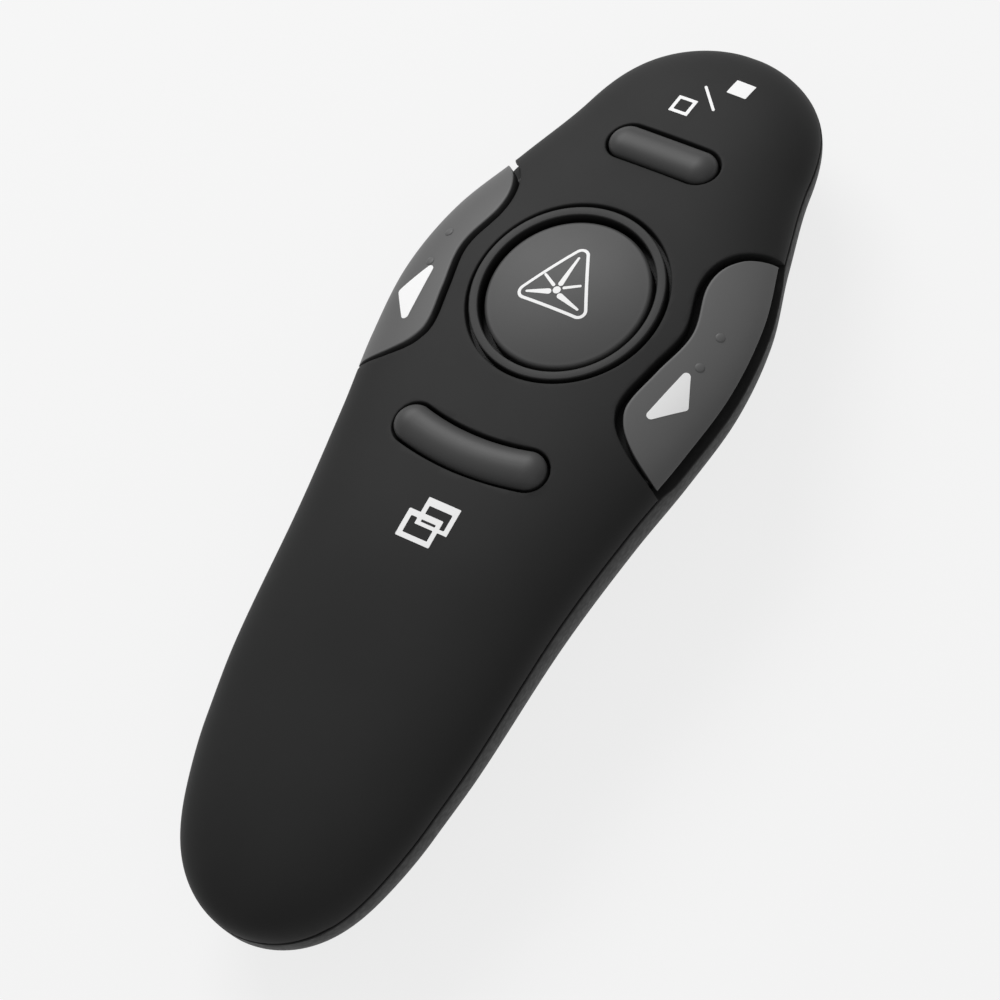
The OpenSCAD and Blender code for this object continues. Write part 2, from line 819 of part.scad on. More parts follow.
// Corner of a side key beside the shell's edge at station s, one gap away from it
function wing_corner(s) =
    let (d = (curve(wing_edge, s + 0.05) - curve(wing_edge, s - 0.05)) / 0.1, n = sqrt(1 + d * d))
    [curve(wing_edge, s) + wing_gap / n, s - wing_gap * d / n];

// Half width of the side key's lower edge at station s
function wing_low_x(s) = half_w(s) * dome_reach(wing_lift / dome_h(s));

// Cross-section of a side key: outer skin up to its inner corner, then inner skin back down
function wing_section(corner) =
    let (
        s = corner[1],
        cols = 9,
        w = half_w(s),
        low = wing_low_x(s),
        a0 = asin(corner[0] / w),
        a1 = asin(low / w),
        outer = [
            for (j = [0:cols])
                let (r = sin(a0 + (a1 - a0) * j / cols)) [w * r, seam_z(s) + dome_h(s) * dome_share(r)]
        ],
        tx = min(wing_thick, 0.8 * (low - corner[0])),
        tz = min(wing_thick, 0.8 * (outer[0][1] - outer[cols][1]))
    )
    concat(
        [for (j = [cols:-1:0]) [outer[j][0], s, outer[j][1]]],
        [
            for (j = [0:cols])
                let (a = 90 * j / cols) [outer[j][0] - tx * sin(a), s, outer[j][1] - tz * cos(a)]
        ]
    );

// Station of the shell's edge, between a and b, where the side key comes down to a point
function wing_end(a, b, i = 12) =
    let (m = (a + b) / 2, c = wing_corner(m))
    i == 0 ? b : wing_low_x(c[1]) - c[0] > 0.25 ? wing_end(a, m, i - 1) : wing_end(m, b, i - 1);

module wing_key() {
    rows = 24;
    first = wing_end(wing_rear, wing_rear + 6);
    last = wing_end(wing_front, wing_front - 6);
    solid_loft([
        for (i = [0:rows]) wing_section(wing_corner(first + (last - first) * (1 - cos(180 * i / rows)) / 2))
    ]);
    stem(wing_switch[0], wing_switch[1], top_z(wing_switch[0], wing_switch[1], wing_thick) + 0.5);
    for (s = wing_lugs) {
        x = curve(wing_edge, s);
        z = top_z(x + 1, s, wall) - fit_gap - 0.2;
        block([x - 1.2, x + wing_gap + 1.6], [s - 1.5, s + 1.5], [z - 1.1, z]);
        block([x + wing_gap + 0.3, x + wing_gap + 1.6], [s - 1.5, s + 1.5], [z - 0.2, z + 1.3]);
    }
}

module page_forward_key() {
    color("#6b6b6e") place() wing_key();
}

module page_back_key() {
    color("#6b6b6e") place() mirror([1, 0, 0]) wing_key();
}

// ---- Main board ----

// Places of the tactile switches: laser, blank, window, page back, page forward
switches = [
    [0, laser_key_s],
    [0, blank_key_s],
    [0, window_switch_s],
    [-wing_switch[0], wing_switch[1]],
    wing_switch
];

module main_board() {
    color("#1e5b3a") place() difference() {
        translate([0, 0, board_z]) linear_extrude(height = board_thick) polygon(concat(
            board_half,
            [for (i = [len(board_half) - 1:-1:0]) [-board_half[i][0], board_half[i][1]]]
        ));
        both_sides() for (p = posts) post(p[0], p[1], board_z - 1, board_top + 1, post_pin_r + pin_gap);
    }
}

module switch_housings() {
    color("#2b2b2e") place() for (p = switches) difference() {
        translate([p[0], p[1], board_top + switch_tall / 2])
            cube([switch_side, switch_side, switch_tall], center = true);
        post(p[0], p[1], board_top + 0.3, housing_top + 1, plunger_r + pin_gap);
    }
}

module plunger(i) {
    color("#b8b4a8") place()
        post(switches[i][0], switches[i][1], board_top + 0.3 + key_travel + 0.1, plunger_top, plunger_r);
}

module laser_plunger() {
    plunger(0);
}

module blank_plunger() {
    plunger(1);
}

module window_plunger() {
    plunger(2);
}

module page_back_plunger() {
    plunger(3);
}

module page_forward_plunger() {
    plunger(4);
}

// Chip of the given size on the main board, its middle at (x, s)
module on_board(x, s, size) {
    translate([x - size[0] / 2, s - size[1] / 2, board_top]) cube(size);
}

chip_s = body_len - 51;
chip_pitch = 1.6;
chip_upright = [0.6, 1.2, 0.5];
chip_across = [1.2, 0.6, 0.5];

module controller_chip() {
    color("#17171a") place() on_board(-7, chip_s, [5, 5, 0.9]);
}

module crystal() {
    color("#b9bcc0") place() on_board(-0.6, chip_s, [3.2, 2.5, 0.8]);
}

module board_capacitors() {
    color("#a08765") place() {
        for (i = [0:4]) on_board(4 + chip_pitch * i, chip_s - 2, chip_upright);
        for (i = [0:3]) on_board(-9 + chip_pitch * i, chip_s - 5, chip_upright);
        for (i = [0:2]) on_board(5.5, body_len - 29 + chip_pitch * i, chip_across);
    }
}

// Printed aerial: a meander at the board's front corner
module aerial() {
    turns = 4;
    pitch = 1.6;
    reach = 4.6;
    track = 0.5;
    foil = 0.1;
    color("#b87333") place() translate([5, board_front - 8, board_top]) {
        for (i = [0:turns]) translate([0, pitch * i, 0]) cube([reach, track, foil]);
        for (i = [0:turns - 1])
            translate([i % 2 == 0 ? reach - track : 0, pitch * i, 0]) cube([track, pitch + track, foil]);
    }
}

// ---- On/off switch ----

module power_switch_body() {
    color("#c9c9c4") place() difference() {
        translate([-power_body[0] / 2, power_s - power_body[1] / 2, board_z - power_body[2]])
            cube(power_body);
        block([-lever_side / 2 - pin_gap, lever_side / 2 + pin_gap],
            [power_s - lever_side / 2 - fit_gap, power_s + lever_side / 2 + power_travel + fit_gap],
            [board_z - power_body[2] - 1, board_z - 1.2]);
    }
}

lever_low = board_z - power_body[2] - 1.8;

module power_switch_lever() {
    color("#1b1b1d") place() block(
        [-lever_side / 2, lever_side / 2], [power_s - lever_side / 2, power_s + lever_side / 2],
        [lever_low, board_z - 1.5]
    );
}

module power_slider() {
    color("#3c3c40") place() difference() {
        union() {
            block([-slider_size[0] / 2, slider_size[0] / 2],
                [power_s - slider_size[1] / 2, power_s + slider_size[1] / 2],
                [fit_gap, recess_deep - 0.2]);
            block([-slot_half + fit_gap, slot_half - fit_gap],
                [power_s - slider_neck / 2, power_s + slider_neck / 2],
                [recess_deep - 0.3, board_z - power_body[2] - 0.4]);
            block([-2.4, 2.4], [power_s - 1.8, power_s + 1.8],
                [recess_deep + pad_thick + 0.2, recess_deep + pad_thick + 1]);
        }
        // Fork around the lever
        block([-2, 2], [power_s - lever_side / 2 - pin_gap, power_s + lever_side / 2 + pin_gap],
            [lever_low - 0.2, board_z]);
        // Grip ridges
        for (i = [-1:1]) translate([0, power_s + 1.3 * i, fit_gap])
            cube([slider_size[0] + 1, 0.5, 0.7], center = true);
    }
}

// ---- Laser module ----

module laser_barrel() {
    color("#b08d4a") place() difference() {
        along(barrel_rear, barrel_front, barrel_r);
        along(barrel_rear - 1, barrel_front + 1, lens_r + pin_gap);
        along(barrel_rear - 1, barrel_rear + 1.5, 2.85);
    }
}

module laser_diode() {
    color("#c4a75a") place() {
        along(barrel_rear + 0.2, barrel_rear + 1.5, 2.8);
        along(barrel_rear + 1.4, barrel_rear + 3.6, 2.1);
        for (p = [[-1, 0.75], [1, 0.75], [0, -0.75]])
            along(barrel_rear - 3, barrel_rear + 0.3, 0.23, p[0], laser_z + p[1]);
    }
}

// Coil or spiral of wire from radius r0 to r1 over height h, standing on Z
module wire_coil(r0, r1, h, turns, wire_r, steps) {
    sides = 6;
    solid_loft([
        for (i = [0:turns * steps])
            let (t = i / (turns * steps), a = 360 * turns * t, r = r0 + (r1 - r0) * t)
            [
                for (j = [0:sides - 1])
                    let (b = 360 * j / sides, q = r + wire_r * cos(b))
                    [q * cos(a), q * sin(a), h * t + wire_r * sin(b)]
            ]
    ]);
}

module focus_spring() {
    color("#c8cacd") place() translate([0, barrel_rear + 4.1, laser_z]) rotate([-90, 0, 0])
        wire_coil(1.7, 1.7, 4.2, 4, 0.2, 14);
}

lens_s = barrel_rear + 8.6;

module laser_lens() {
    color("#dfe6ea", 0.5) place() translate([0, lens_s, laser_z]) rotate([-90, 0, 0]) intersection() {
        cylinder(h = 1.8, r = lens_r, $fn = 64);
        translate([0, 0, 1.8 - 5]) sphere(r = 5, $fn = 96);
    }
}

module lens_nut() {
    color("#a88444") place() difference() {
        along(lens_s + 1.8, barrel_front - 0.6, lens_r);
        along(lens_s + 1, barrel_front, 1.5);
    }
}

module laser_driver_board() {
    color("#1e5b3a") place()
        translate([-driver_size[0] / 2, driver_s, laser_z - driver_size[2] / 2]) cube(driver_size);
}

module laser_leads() {
    color("#a32020") place() for (x = [-1.5, 1.5])
        post(x, driver_s + 1.6, laser_z + driver_size[2] / 2, board_z, 0.35);
}

module nose_bezel() {
    color("#2a2a2c") place() difference() {
        along(bezel_rear + 0.1, bezel_front, aperture_r - 0.1);
        along(bezel_rear - 1, body_len, light_r + pin_gap);
    }
}

module nose_window() {
    color("#3a0f12", 0.6) place() along(bezel_rear + 0.2, bezel_front - 0.3, light_r);
}

// ---- Battery bay ----

module cell(front) {
    nub_len = 1.2;
    flip = front ? 1 : -1;
    translate([front ? -cell_x : cell_x, cell_rear + cell_len / 2, cell_z]) rotate([-90 * flip, 0, 0])
        translate([0, 0, -cell_len / 2]) rotate_extrude($fn = 64) polygon([
            [0, 0],
            [cell_r - 0.4, 0],
            [cell_r, 0.4],
            [cell_r, cell_len - nub_len - 0.4],
            [cell_r - 0.4, cell_len - nub_len],
            [1.9, cell_len - nub_len],
            [1.9, cell_len],
            [0, cell_len]
        ]);
}

module left_cell() {
    color("#8a8f98") place() cell(true);
}

module right_cell() {
    color("#8a8f98") place() cell(false);
}

plate_in = 1.2;
plate_out = cell_x + 4;
plate_low = cell_z - 3.4;
plate_high = cell_z + 3.4;
dimple_r = 1.5;

module tail_contact() {
    color("#c2c4c6") place() {
        block([-plate_out, plate_out], [bay_rear, bay_rear + plate_thick], [plate_low, plate_high]);
        along(bay_rear + plate_thick / 2, cell_rear, dimple_r, cell_x, cell_z);
    }
}

module front_contacts() {
    color("#c2c4c6") place() {
        both_sides() {
            block([plate_in, plate_out], [bay_front - plate_thick, bay_front], [plate_low, plate_high]);
            block(tab, [bay_front - plate_thick, bay_front], [plate_high - 0.1, board_top + plate_thick]);
            block(tab, [bay_front - plate_thick, board_rear + 1.6], [board_top, board_top + plate_thick]);
        }
        along(cell_front, bay_front - plate_thick / 2, dimple_r, -cell_x, cell_z);
    }
}

module cell_springs() {
    wire_r = 0.22;
    wide_r = 3.4;
    narrow_r = 1.6;
    room = contact_room - plate_thick - 2 * wire_r;
    color("#d0d2d4") place() {
        translate([-cell_x, bay_rear + plate_thick + wire_r, cell_z]) rotate([-90, 0, 0])
            wire_coil(wide_r, narrow_r, room, 2, wire_r, 20);
        translate([cell_x, bay_front - plate_thick - wire_r, cell_z]) rotate([90, 0, 0])
            wire_coil(wide_r, narrow_r, room, 2, wire_r, 20);
    }
}

// ---- USB receiver ----

module receiver_case() {
    color("#1b1b1d") place() difference() {
        union() {
            block([-receiver_w / 2 + receiver_edge, receiver_w / 2 - receiver_edge],
                [receiver_rear, receiver_front], [receiver_low, receiver_low + receiver_h]);
            block([-receiver_w / 2, receiver_w / 2], [receiver_rear, receiver_front],
                [receiver_low + receiver_edge, receiver_low + receiver_h - receiver_edge]);
            for (x = [-1, 1], z = [receiver_edge, receiver_h - receiver_edge])
                along(receiver_rear, receiver_front, receiver_edge,
                    x * (receiver_w / 2 - receiver_edge), receiver_low + z);
        }
        block([-plug_w / 2 - pin_gap, plug_w / 2 + pin_gap],
            [receiver_rear + receiver_wall, receiver_front + 1],
            [receiver_mid_z - plug_h / 2 - pin_gap, receiver_mid_z + plug_h / 2 + pin_gap]);
    }
}

module receiver_plug_shell() {
    color("#c9cbce") place() difference() {
        block([-plug_w / 2, plug_w / 2], [receiver_front - plug_inside, plug_front],
            [receiver_mid_z - plug_h / 2, receiver_mid_z + plug_h / 2]);
        block([-plug_w / 2 + plug_wall, plug_w / 2 - plug_wall],
            [receiver_front - plug_inside - 1, plug_front + 1],
            [receiver_mid_z - plug_h / 2 + plug_wall, receiver_mid_z + plug_h / 2 - plug_wall]);
        for (x = [-plug_hole_x, plug_hole_x]) translate([x, plug_front - plug_hole_s, receiver_mid_z])
            cube([plug_hole, plug_hole, 2 * plug_h], center = true);
    }
}

// The tongue sits against the lower wall of the plug, its contacts facing the open side
tongue_low = receiver_mid_z - plug_h / 2 + plug_wall;

module receiver_tongue() {
    color("#e8e8e4") place() block([-plug_w / 2 + plug_wall + pin_gap, plug_w / 2 - plug_wall - pin_gap],
        [receiver_front - 0.6, plug_front - 0.5], [tongue_low, tongue_low + tongue_thick]);
}

module receiver_contacts() {
    color("#d9b45a") place() for (i = [-1.5:1:1.5])
        block([contact_pitch * i - contact_w / 2, contact_pitch * i + contact_w / 2],
            [receiver_front - 0.6, plug_front - 1.6],
            [tongue_low + tongue_thick, tongue_low + tongue_thick + contact_thick]);
}

module receiver_board() {
    color("#1e5b3a") place() block([-plug_w / 2 + plug_wall + fit_gap, plug_w / 2 - plug_wall - fit_gap],
        [receiver_rear + receiver_wall + pin_gap, receiver_front - 0.7], [tongue_low, tongue_low + 0.8]);
}

top_shell();
bottom_shell();
trim_ring();
battery_cover();
laser_button();
blank_button();
window_button();
page_back_key();
page_forward_key();
laser_plunger();
blank_plunger();
window_plunger();
page_back_plunger();
page_forward_plunger();
main_board();
switch_housings();
controller_chip();
crystal();
board_capacitors();
aerial();
power_switch_body();
power_switch_lever();
power_slider();
laser_barrel();
laser_diode();
focus_spring();
laser_lens();
lens_nut();
laser_driver_board();
laser_leads();
nose_bezel();
nose_window();
left_cell();
right_cell();
tail_contact();
front_contacts();
cell_springs();
case_screws();
receiver_case();
receiver_board();
receiver_plug_shell();
receiver_tongue();
receiver_contacts();
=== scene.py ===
import bpy
import bmesh
import json
import math
from mathutils import Matrix, Vector


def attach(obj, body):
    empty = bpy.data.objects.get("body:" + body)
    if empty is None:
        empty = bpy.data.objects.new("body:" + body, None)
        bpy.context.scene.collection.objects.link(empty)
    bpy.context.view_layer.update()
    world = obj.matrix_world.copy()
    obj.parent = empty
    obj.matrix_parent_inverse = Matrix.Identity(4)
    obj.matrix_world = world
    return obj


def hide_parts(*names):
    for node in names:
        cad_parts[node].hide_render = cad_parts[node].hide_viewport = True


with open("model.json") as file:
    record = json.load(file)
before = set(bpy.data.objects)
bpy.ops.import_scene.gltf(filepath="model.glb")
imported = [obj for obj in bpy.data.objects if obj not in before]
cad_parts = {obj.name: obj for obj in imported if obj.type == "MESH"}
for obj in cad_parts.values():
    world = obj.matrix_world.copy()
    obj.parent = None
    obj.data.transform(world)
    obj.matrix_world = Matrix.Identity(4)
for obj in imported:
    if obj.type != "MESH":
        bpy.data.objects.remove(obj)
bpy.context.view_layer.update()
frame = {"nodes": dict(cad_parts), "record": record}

mm = 0.001  # pieces are shaped in millimetres and scaled to metres when they are put in place

# stations run from 0 at the tail to the nose
body = {
    "length": 127.0, "wall": 2.0,
    "tailRound": 20.8, "noseRound": 14.3, "noseHalf": 15.8, "chinRound": 34.0,
    "acrossPower": 2.56, "upPower": 2.07, "bellyPower": 1.93, "endPower": 2.6, "chinPower": 2.2,
    "keelDrop": 0.5, "flatEase": 0.01, "lightHole": 2.0,
    "seamGap": 0.2, "grooveTop": 0.12, "grooveLow": 0.08,
    "keyRelief": 0.75, "reliefStart": 0.6, "reliefRun": 2.5,
    "plan": [(0, 16.5), (14, 15.4), (30, 17.5), (48, 18.9), (62, 20.9), (72, 22.8), (82, 23.9),
             (92, 22.7), (102, 19.2), (114, 15.8), (127, 15.9)],
    "seam": [(0, 10.8), (30, 15), (60, 17), (90, 16.5), (127, 11.2)],
    "crown": [(0, 17), (25, 20.6), (50, 23.6), (75, 23.4), (100, 21.6), (127, 16)],
}
keys = {
    "laserStation": 84.75, "blankStation": 107.1, "windowStation": 61.0,
    "laserRadius": 10.35, "laserGap": 0.75, "ringWidth": 1.3, "grooveWidth": 0.3,
    "barRadius": 2.5, "barGap": 0.38, "blankReach": 5.0, "windowReach": 8.1, "windowBend": 35.0,
    "wingGap": 1.0, "wingLift": 1.35, "wingThick": 1.6,
    "wingEdge": [(66.6, 22.2), (69, 17.6), (71.5, 14.6), (74.5, 13.5), (80, 14.5), (86, 15.7),
                 (92, 14.1), (95.5, 14.3), (98.5, 16.0), (100.4, 18.5), (101.6, 20.8)],
}
noseLoss = body["noseRound"] * (1 - math.sqrt(1 - (body["lightHole"] / body["noseHalf"]) ** 2))
middle = (body["length"] - noseLoss) / 2
wingStart, wingEnd = keys["wingEdge"][0][0], keys["wingEdge"][-1][0]


def curveAt(points, s):
    i = 0
    while i < len(points) - 2 and s >= points[i + 1][0]:
        i += 1

    def slope(k):
        a, b = max(k - 1, 0), min(k + 1, len(points) - 1)
        return (points[b][1] - points[a][1]) / (points[b][0] - points[a][0])
    h = points[i + 1][0] - points[i][0]
    t = (s - points[i][0]) / h
    return ((2 * t ** 3 - 3 * t * t + 1) * points[i][1] + (t ** 3 - 2 * t * t + t) * h * slope(i)
            + (3 * t * t - 2 * t ** 3) * points[i + 1][1] + (t ** 3 - t * t) * h * slope(i + 1))


def endShare(d, length, power):
    return max(0.0, 1 - max(0.0, 1 - d / length) ** power) ** (1 / power)


def halfWidth(s, inset=0.0):
    return ((curveAt(body["plan"], s) - inset) * endShare(s - inset, body["tailRound"] - inset, 2)
            * endShare(body["length"] - inset - s, body["noseRound"] - inset, 2))


def seamLevel(s):
    return curveAt(body["seam"], s)


def domeHeight(s, inset=0.0):
    return ((curveAt(body["crown"], s) - seamLevel(s) - inset)
            * endShare(s - inset, body["tailRound"] - inset, body["endPower"])
            * endShare(body["length"] - inset - s, body["noseRound"] - inset, body["endPower"]))


def bellyHeight(s):
    return ((seamLevel(s) + body["keelDrop"]) * endShare(s, body["tailRound"], body["endPower"])
            * endShare(body["length"] - s, body["chinRound"], body["chinPower"]))


def domeShare(r):
    return max(0.0, 1 - abs(r) ** body["acrossPower"]) ** (1 / body["upPower"])


def bellyShare(r):
    return max(0.0, 1 - abs(r) ** body["bellyPower"]) ** (1 / body["bellyPower"])


def topLevel(x, s):
    w = halfWidth(s)
    return seamLevel(s) + (domeHeight(s) * domeShare(x / w) if w > 1e-6 else 0)


def bellyLevel(x, s):
    w = halfWidth(s)
    drop = bellyHeight(s) * bellyShare(min(1, abs(x) / w)) if w > 1e-6 else 0
    z = seamLevel(s) - body["seamGap"] - drop
    return 0.5 * (z + math.sqrt(z * z + body["flatEase"]))  # eased onto the flat that it rests on


def station(u):
    return body["length"] * (1 - math.cos(math.pi * u)) / 2


def onDome(u, v):
    s = station(u)
    x = halfWidth(s) * math.sin(math.pi / 2 * v)
    return Vector((x, s, max(topLevel(x, s), seamLevel(s) + body["grooveTop"])))


def easeIn(t):
    t = max(0.0, min(1.0, t))
    return t * t * (3 - 2 * t)


def onBelly(u, v):
    s = station(u)
    x = halfWidth(s) * math.sin(math.pi / 2 * v)
    start, run = body["reliefStart"], body["reliefRun"]
    underKey = easeIn((s - wingStart - start) / run) * easeIn((wingEnd - start - s) / run)
    rim = seamLevel(s) - body["seamGap"] - body["grooveLow"] - body["keyRelief"] * underKey
    return Vector((x, s, min(bellyLevel(x, s), rim)))


def crownTilt(s):
    return math.atan((topLevel(0, s - 1) - topLevel(0, s + 1)) / 2)


# point at a depth under the top's skin, measured square to it
def belowTop(x, s, depth):
    h = 0.05
    across = (topLevel(x + h, s) - topLevel(x - h, s)) / (2 * h)
    ahead = (topLevel(x, s + h) - topLevel(x, s - h)) / (2 * h)
    return Vector((x, s, topLevel(x, s))) - Vector((-across, -ahead, 1)).normalized() * depth


def crownFrame(s):
    return Matrix.Translation((0, s, topLevel(0, s))) @ Matrix.Rotation(-crownTilt(s), 4, "X")


def deselectAll():
    if bpy.context.object and bpy.context.object.mode != "OBJECT":
        bpy.ops.object.mode_set(mode="OBJECT")
    bpy.ops.object.select_all(action="DESELECT")


def makeActive(obj):
    deselectAll()
    obj.select_set(True)
    bpy.context.view_layer.objects.active = obj


def startEdit(obj, mode="VERT"):
    makeActive(obj)
    bpy.ops.object.mode_set(mode="EDIT")
    bpy.ops.mesh.select_mode(type=mode)
    bpy.ops.mesh.select_all(action="DESELECT")


# selects what chosen says, in edit mode
def pick(obj, chosen, kind="faces"):
    grid = bmesh.from_edit_mesh(obj.data)
    for f in grid.faces:
        f.select = False
    for e in grid.edges:
        e.select = False
    for v in grid.verts:
        v.select = False
    for item in getattr(grid, kind):
        if chosen(item):
            item.select_set(True)
    grid.select_flush_mode()
    bmesh.update_edit_mesh(obj.data)


def endEdit():
    bpy.ops.object.mode_set(mode="OBJECT")


def useModifier(obj, kind, **settings):
    makeActive(obj)
    modifier = obj.modifiers.new(kind.title(), kind)
    for name, value in settings.items():
        setattr(modifier, name, value)
    bpy.ops.object.modifier_apply(modifier=modifier.name)


def bevelEdges(obj, width, segments=3, angle=40):
    useModifier(obj, "BEVEL", width=width, segments=segments, limit_method="ANGLE",
                angle_limit=math.radians(angle), use_clamp_overlap=False)


# bevel whose width follows shareAt, for edges that run into a narrow tip
def bevelTapered(obj, width, shareAt, angle=50):
    grid = bmesh.new()
    grid.from_mesh(obj.data)
    weight = grid.edges.layers.float.new("bevel_weight_edge")
    for e in grid.edges:
        if len(e.link_faces) == 2 and e.calc_face_angle(0) > math.radians(angle):
            e[weight] = shareAt((e.verts[0].co + e.verts[1].co) / 2)
    grid.to_mesh(obj.data)
    grid.free()
    useModifier(obj, "BEVEL", width=width, segments=3, limit_method="WEIGHT", use_clamp_overlap=False)


def tidyNormals(obj):
    startEdit(obj)
    bpy.ops.mesh.select_all(action="SELECT")
    bpy.ops.mesh.remove_doubles(threshold=0.001)
    bpy.ops.mesh.normals_make_consistent(inside=False)
    endEdit()


def joinPieces(first, *others):
    deselectAll()
    for o in others:
        o.select_set(True)
    first.select_set(True)
    bpy.context.view_layer.objects.active = first
    bpy.ops.object.join()
    return first


# a ring of points, extruded and scaled from one (radius, height) of the profile to the next
def turnedPiece(profile, segments, capped=False):
    deselectAll()
    r, z = profile[0]
    bpy.ops.mesh.primitive_circle_add(vertices=segments, radius=r, location=(0, 0, z))
    obj = bpy.context.object
    bpy.ops.object.transform_apply(location=True)
    startEdit(obj)
    bpy.ops.mesh.select_all(action="SELECT")
    for nextR, nextZ in profile[1:]:
        bpy.ops.mesh.extrude_region_move(TRANSFORM_OT_translate={"value": (0, 0, nextZ - z)})
        bpy.ops.transform.resize(value=(nextR / r, nextR / r, 1), center_override=(0, 0, nextZ))
        r, z = nextR, nextZ
    bpy.ops.mesh.select_all(action="SELECT")
    bpy.ops.mesh.remove_doubles(threshold=0.0005)
    if capped:
        bpy.ops.mesh.fill_holes(sides=0)
    bpy.ops.mesh.select_all(action="SELECT")
    bpy.ops.mesh.normals_make_consistent(inside=False)
    endEdit()
    return obj


def block(low, high, bevel=0.2, segments=2):
    deselectAll()
    centre = [(a + b) / 2 for a, b in zip(low, high)]
    bpy.ops.mesh.primitive_cube_add(size=1, location=centre)
    obj = bpy.context.object
    obj.scale = [b - a for a, b in zip(low, high)]
    bpy.ops.object.transform_apply(location=True, scale=True)
    if bevel:
        startEdit(obj, "EDGE")
        bpy.ops.mesh.select_all(action="SELECT")
        bpy.ops.mesh.bevel(offset=bevel, segments=segments, affect="EDGES")
        endEdit()
    return obj


def subtract(obj, cutter):
    useModifier(obj, "BOOLEAN", operation="DIFFERENCE", solver="EXACT", object=cutter)
    bpy.data.objects.remove(cutter)


# painted shade: own colour on the skin, fading to near-black down the walls of gaps and grooves, where
# shade falls
def shadeWalls(obj, depthOf, start=0.06, fade=0.22):
    unshadedShare = obj.data.attributes.new("unshadedShare", "FLOAT", "POINT")
    for v, spot in zip(obj.data.vertices, unshadedShare.data):
        spot.value = max(0.0, min(1.0, 1 - (depthOf(v.co) - start) / fade))


# depth of a point under the top's skin
def skinDepth(p):
    h, x = 0.05, abs(p.x)
    level = topLevel(x, p.y)
    across = (topLevel(x + h, p.y) - level) / h
    ahead = (topLevel(x, p.y + h) - level) / h
    return (level - p.z) / math.sqrt(1 + across * across + ahead * ahead)


stemSize = {"radius": 1.5, "foot": 16.3, "overlap": 0.2}


# round stem from a key's underside down to its switch
def stem(x, s, top):
    r = stemSize["radius"]
    post = turnedPiece([(r, stemSize["foot"]), (r, top)], segments=32, capped=True)
    post.data.transform(Matrix.Translation((x, s, 0)))
    return post


# opens a grid that is laid on the body: the vertices beside an opening move onto its edge,
# so that the edge is an even loop that takes a bevel
def openSheet(grid, at, surface, distance, rowStep, columnStep):
    value = {v: distance(surface(*at[v])) for v in grid.verts}
    crossing = {min(e.verts, key=lambda v: abs(value[v])) for e in grid.edges
                if value[e.verts[0]] * value[e.verts[1]] < 0}
    for v in crossing:
        u, w = at[v]
        onBorder = abs(abs(w) - 1) < 1e-6
        hu, hw = rowStep * 0.02, -columnStep * 0.02 if w > 0 else columnStep * 0.02
        for _ in range(6):
            here = surface(u, w)
            f = distance(here)
            if abs(f) < 1e-4:
                break
            alongU, alongW = surface(u + hu, w), surface(u, w + hw)
            fu, fw = (distance(alongU) - f) / hu, (distance(alongW) - f) / hw
            a = fu / max(((alongU - here) / hu).length_squared, 1e-9)
            b = 0 if onBorder else fw / max(((alongW - here) / hw).length_squared, 1e-9)
            slope = fu * a + fw * b
            if abs(slope) < 1e-9:
                break
            u -= max(-rowStep, min(rowStep, f * a / slope))
            w -= max(-columnStep, min(columnStep, f * b / slope))
            w = max(-1, min(1, w))
        at[v] = (u, w)
        value[v] = 0
    for face in list(grid.faces):
        low = [v for v in face.verts if value[v] < 0]
        high = [v for v in face.verts if value[v] > 0]
        edge = [v for v in face.verts if value[v] == 0]
        if low and high and len(edge) == 2 and len(face.verts) == 4:
            bmesh.utils.face_split(face, edge[0], edge[1])
    gone = []
    for face in grid.faces:
        values = [value[v] for v in face.verts]
        if min(values) < 0:
            gone.append(face)
        elif max(values) == 0:
            centre = sum((surface(*at[v]) for v in face.verts), Vector()) / len(face.verts)
            if distance(centre) < 0:
                gone.append(face)
    bmesh.ops.delete(grid, geom=gone, context="FACES")


# a skin whose outside looks the way of facing, thickened behind it
def sheet(columns, rows, surface, openings, thickness, bevel, merge=0.05, facing=(0, 0, 1), even=True):
    deselectAll()
    bpy.ops.mesh.primitive_grid_add(x_subdivisions=columns, y_subdivisions=rows, size=2)
    obj = bpy.context.object
    grid = bmesh.new()
    grid.from_mesh(obj.data)
    at = {v: ((v.co.y + 1) / 2, v.co.x) for v in grid.verts}
    for distance in openings:
        openSheet(grid, at, surface, distance, 1 / rows, 2 / columns)
        loose = [v for v in grid.verts if not v.link_faces]
        bmesh.ops.delete(grid, geom=loose, context="VERTS")
        at = {v: at[v] for v in grid.verts}
    for v in grid.verts:
        v.co = surface(*at[v])
    bmesh.ops.remove_doubles(grid, verts=grid.verts, dist=merge)
    bmesh.ops.dissolve_degenerate(grid, edges=grid.edges, dist=0.01)
    bmesh.ops.recalc_face_normals(grid, faces=grid.faces)
    facing = Vector(facing)
    if sum(f.normal.dot(facing) * f.calc_area() for f in grid.faces) < 0:
        bmesh.ops.reverse_faces(grid, faces=grid.faces)
    grid.to_mesh(obj.data)
    grid.free()
    useModifier(obj, "SOLIDIFY", thickness=thickness, offset=-1, use_even_offset=even,
                use_quality_normals=True)
    if bevel:
        bevelEdges(obj, bevel, angle=50)
    return obj


# a flat grid extruded once, with its two layers then laid on two surfaces
def slab(columns, rows, outer, inner):
    deselectAll()
    bpy.ops.mesh.primitive_grid_add(x_subdivisions=columns, y_subdivisions=rows, size=2)
    obj = bpy.context.object
    startEdit(obj)
    bpy.ops.mesh.select_all(action="SELECT")
    bpy.ops.mesh.extrude_region_move(TRANSFORM_OT_translate={"value": (0, 0, -1)})
    endEdit()
    for v in obj.data.vertices:
        layer = inner if v.co.z < -0.5 else outer
        v.co = layer((v.co.y + 1) / 2, (v.co.x + 1) / 2)
    tidyNormals(obj)
    return obj


# distances to the openings, in plan, negative inside
def roundHole(x, s, r):
    return lambda p: math.hypot(p.x - x, p.y - s) - r


def barHole(s, reach, r):
    return lambda p: math.hypot(max(abs(p.x) - reach, 0), p.y - s) - r


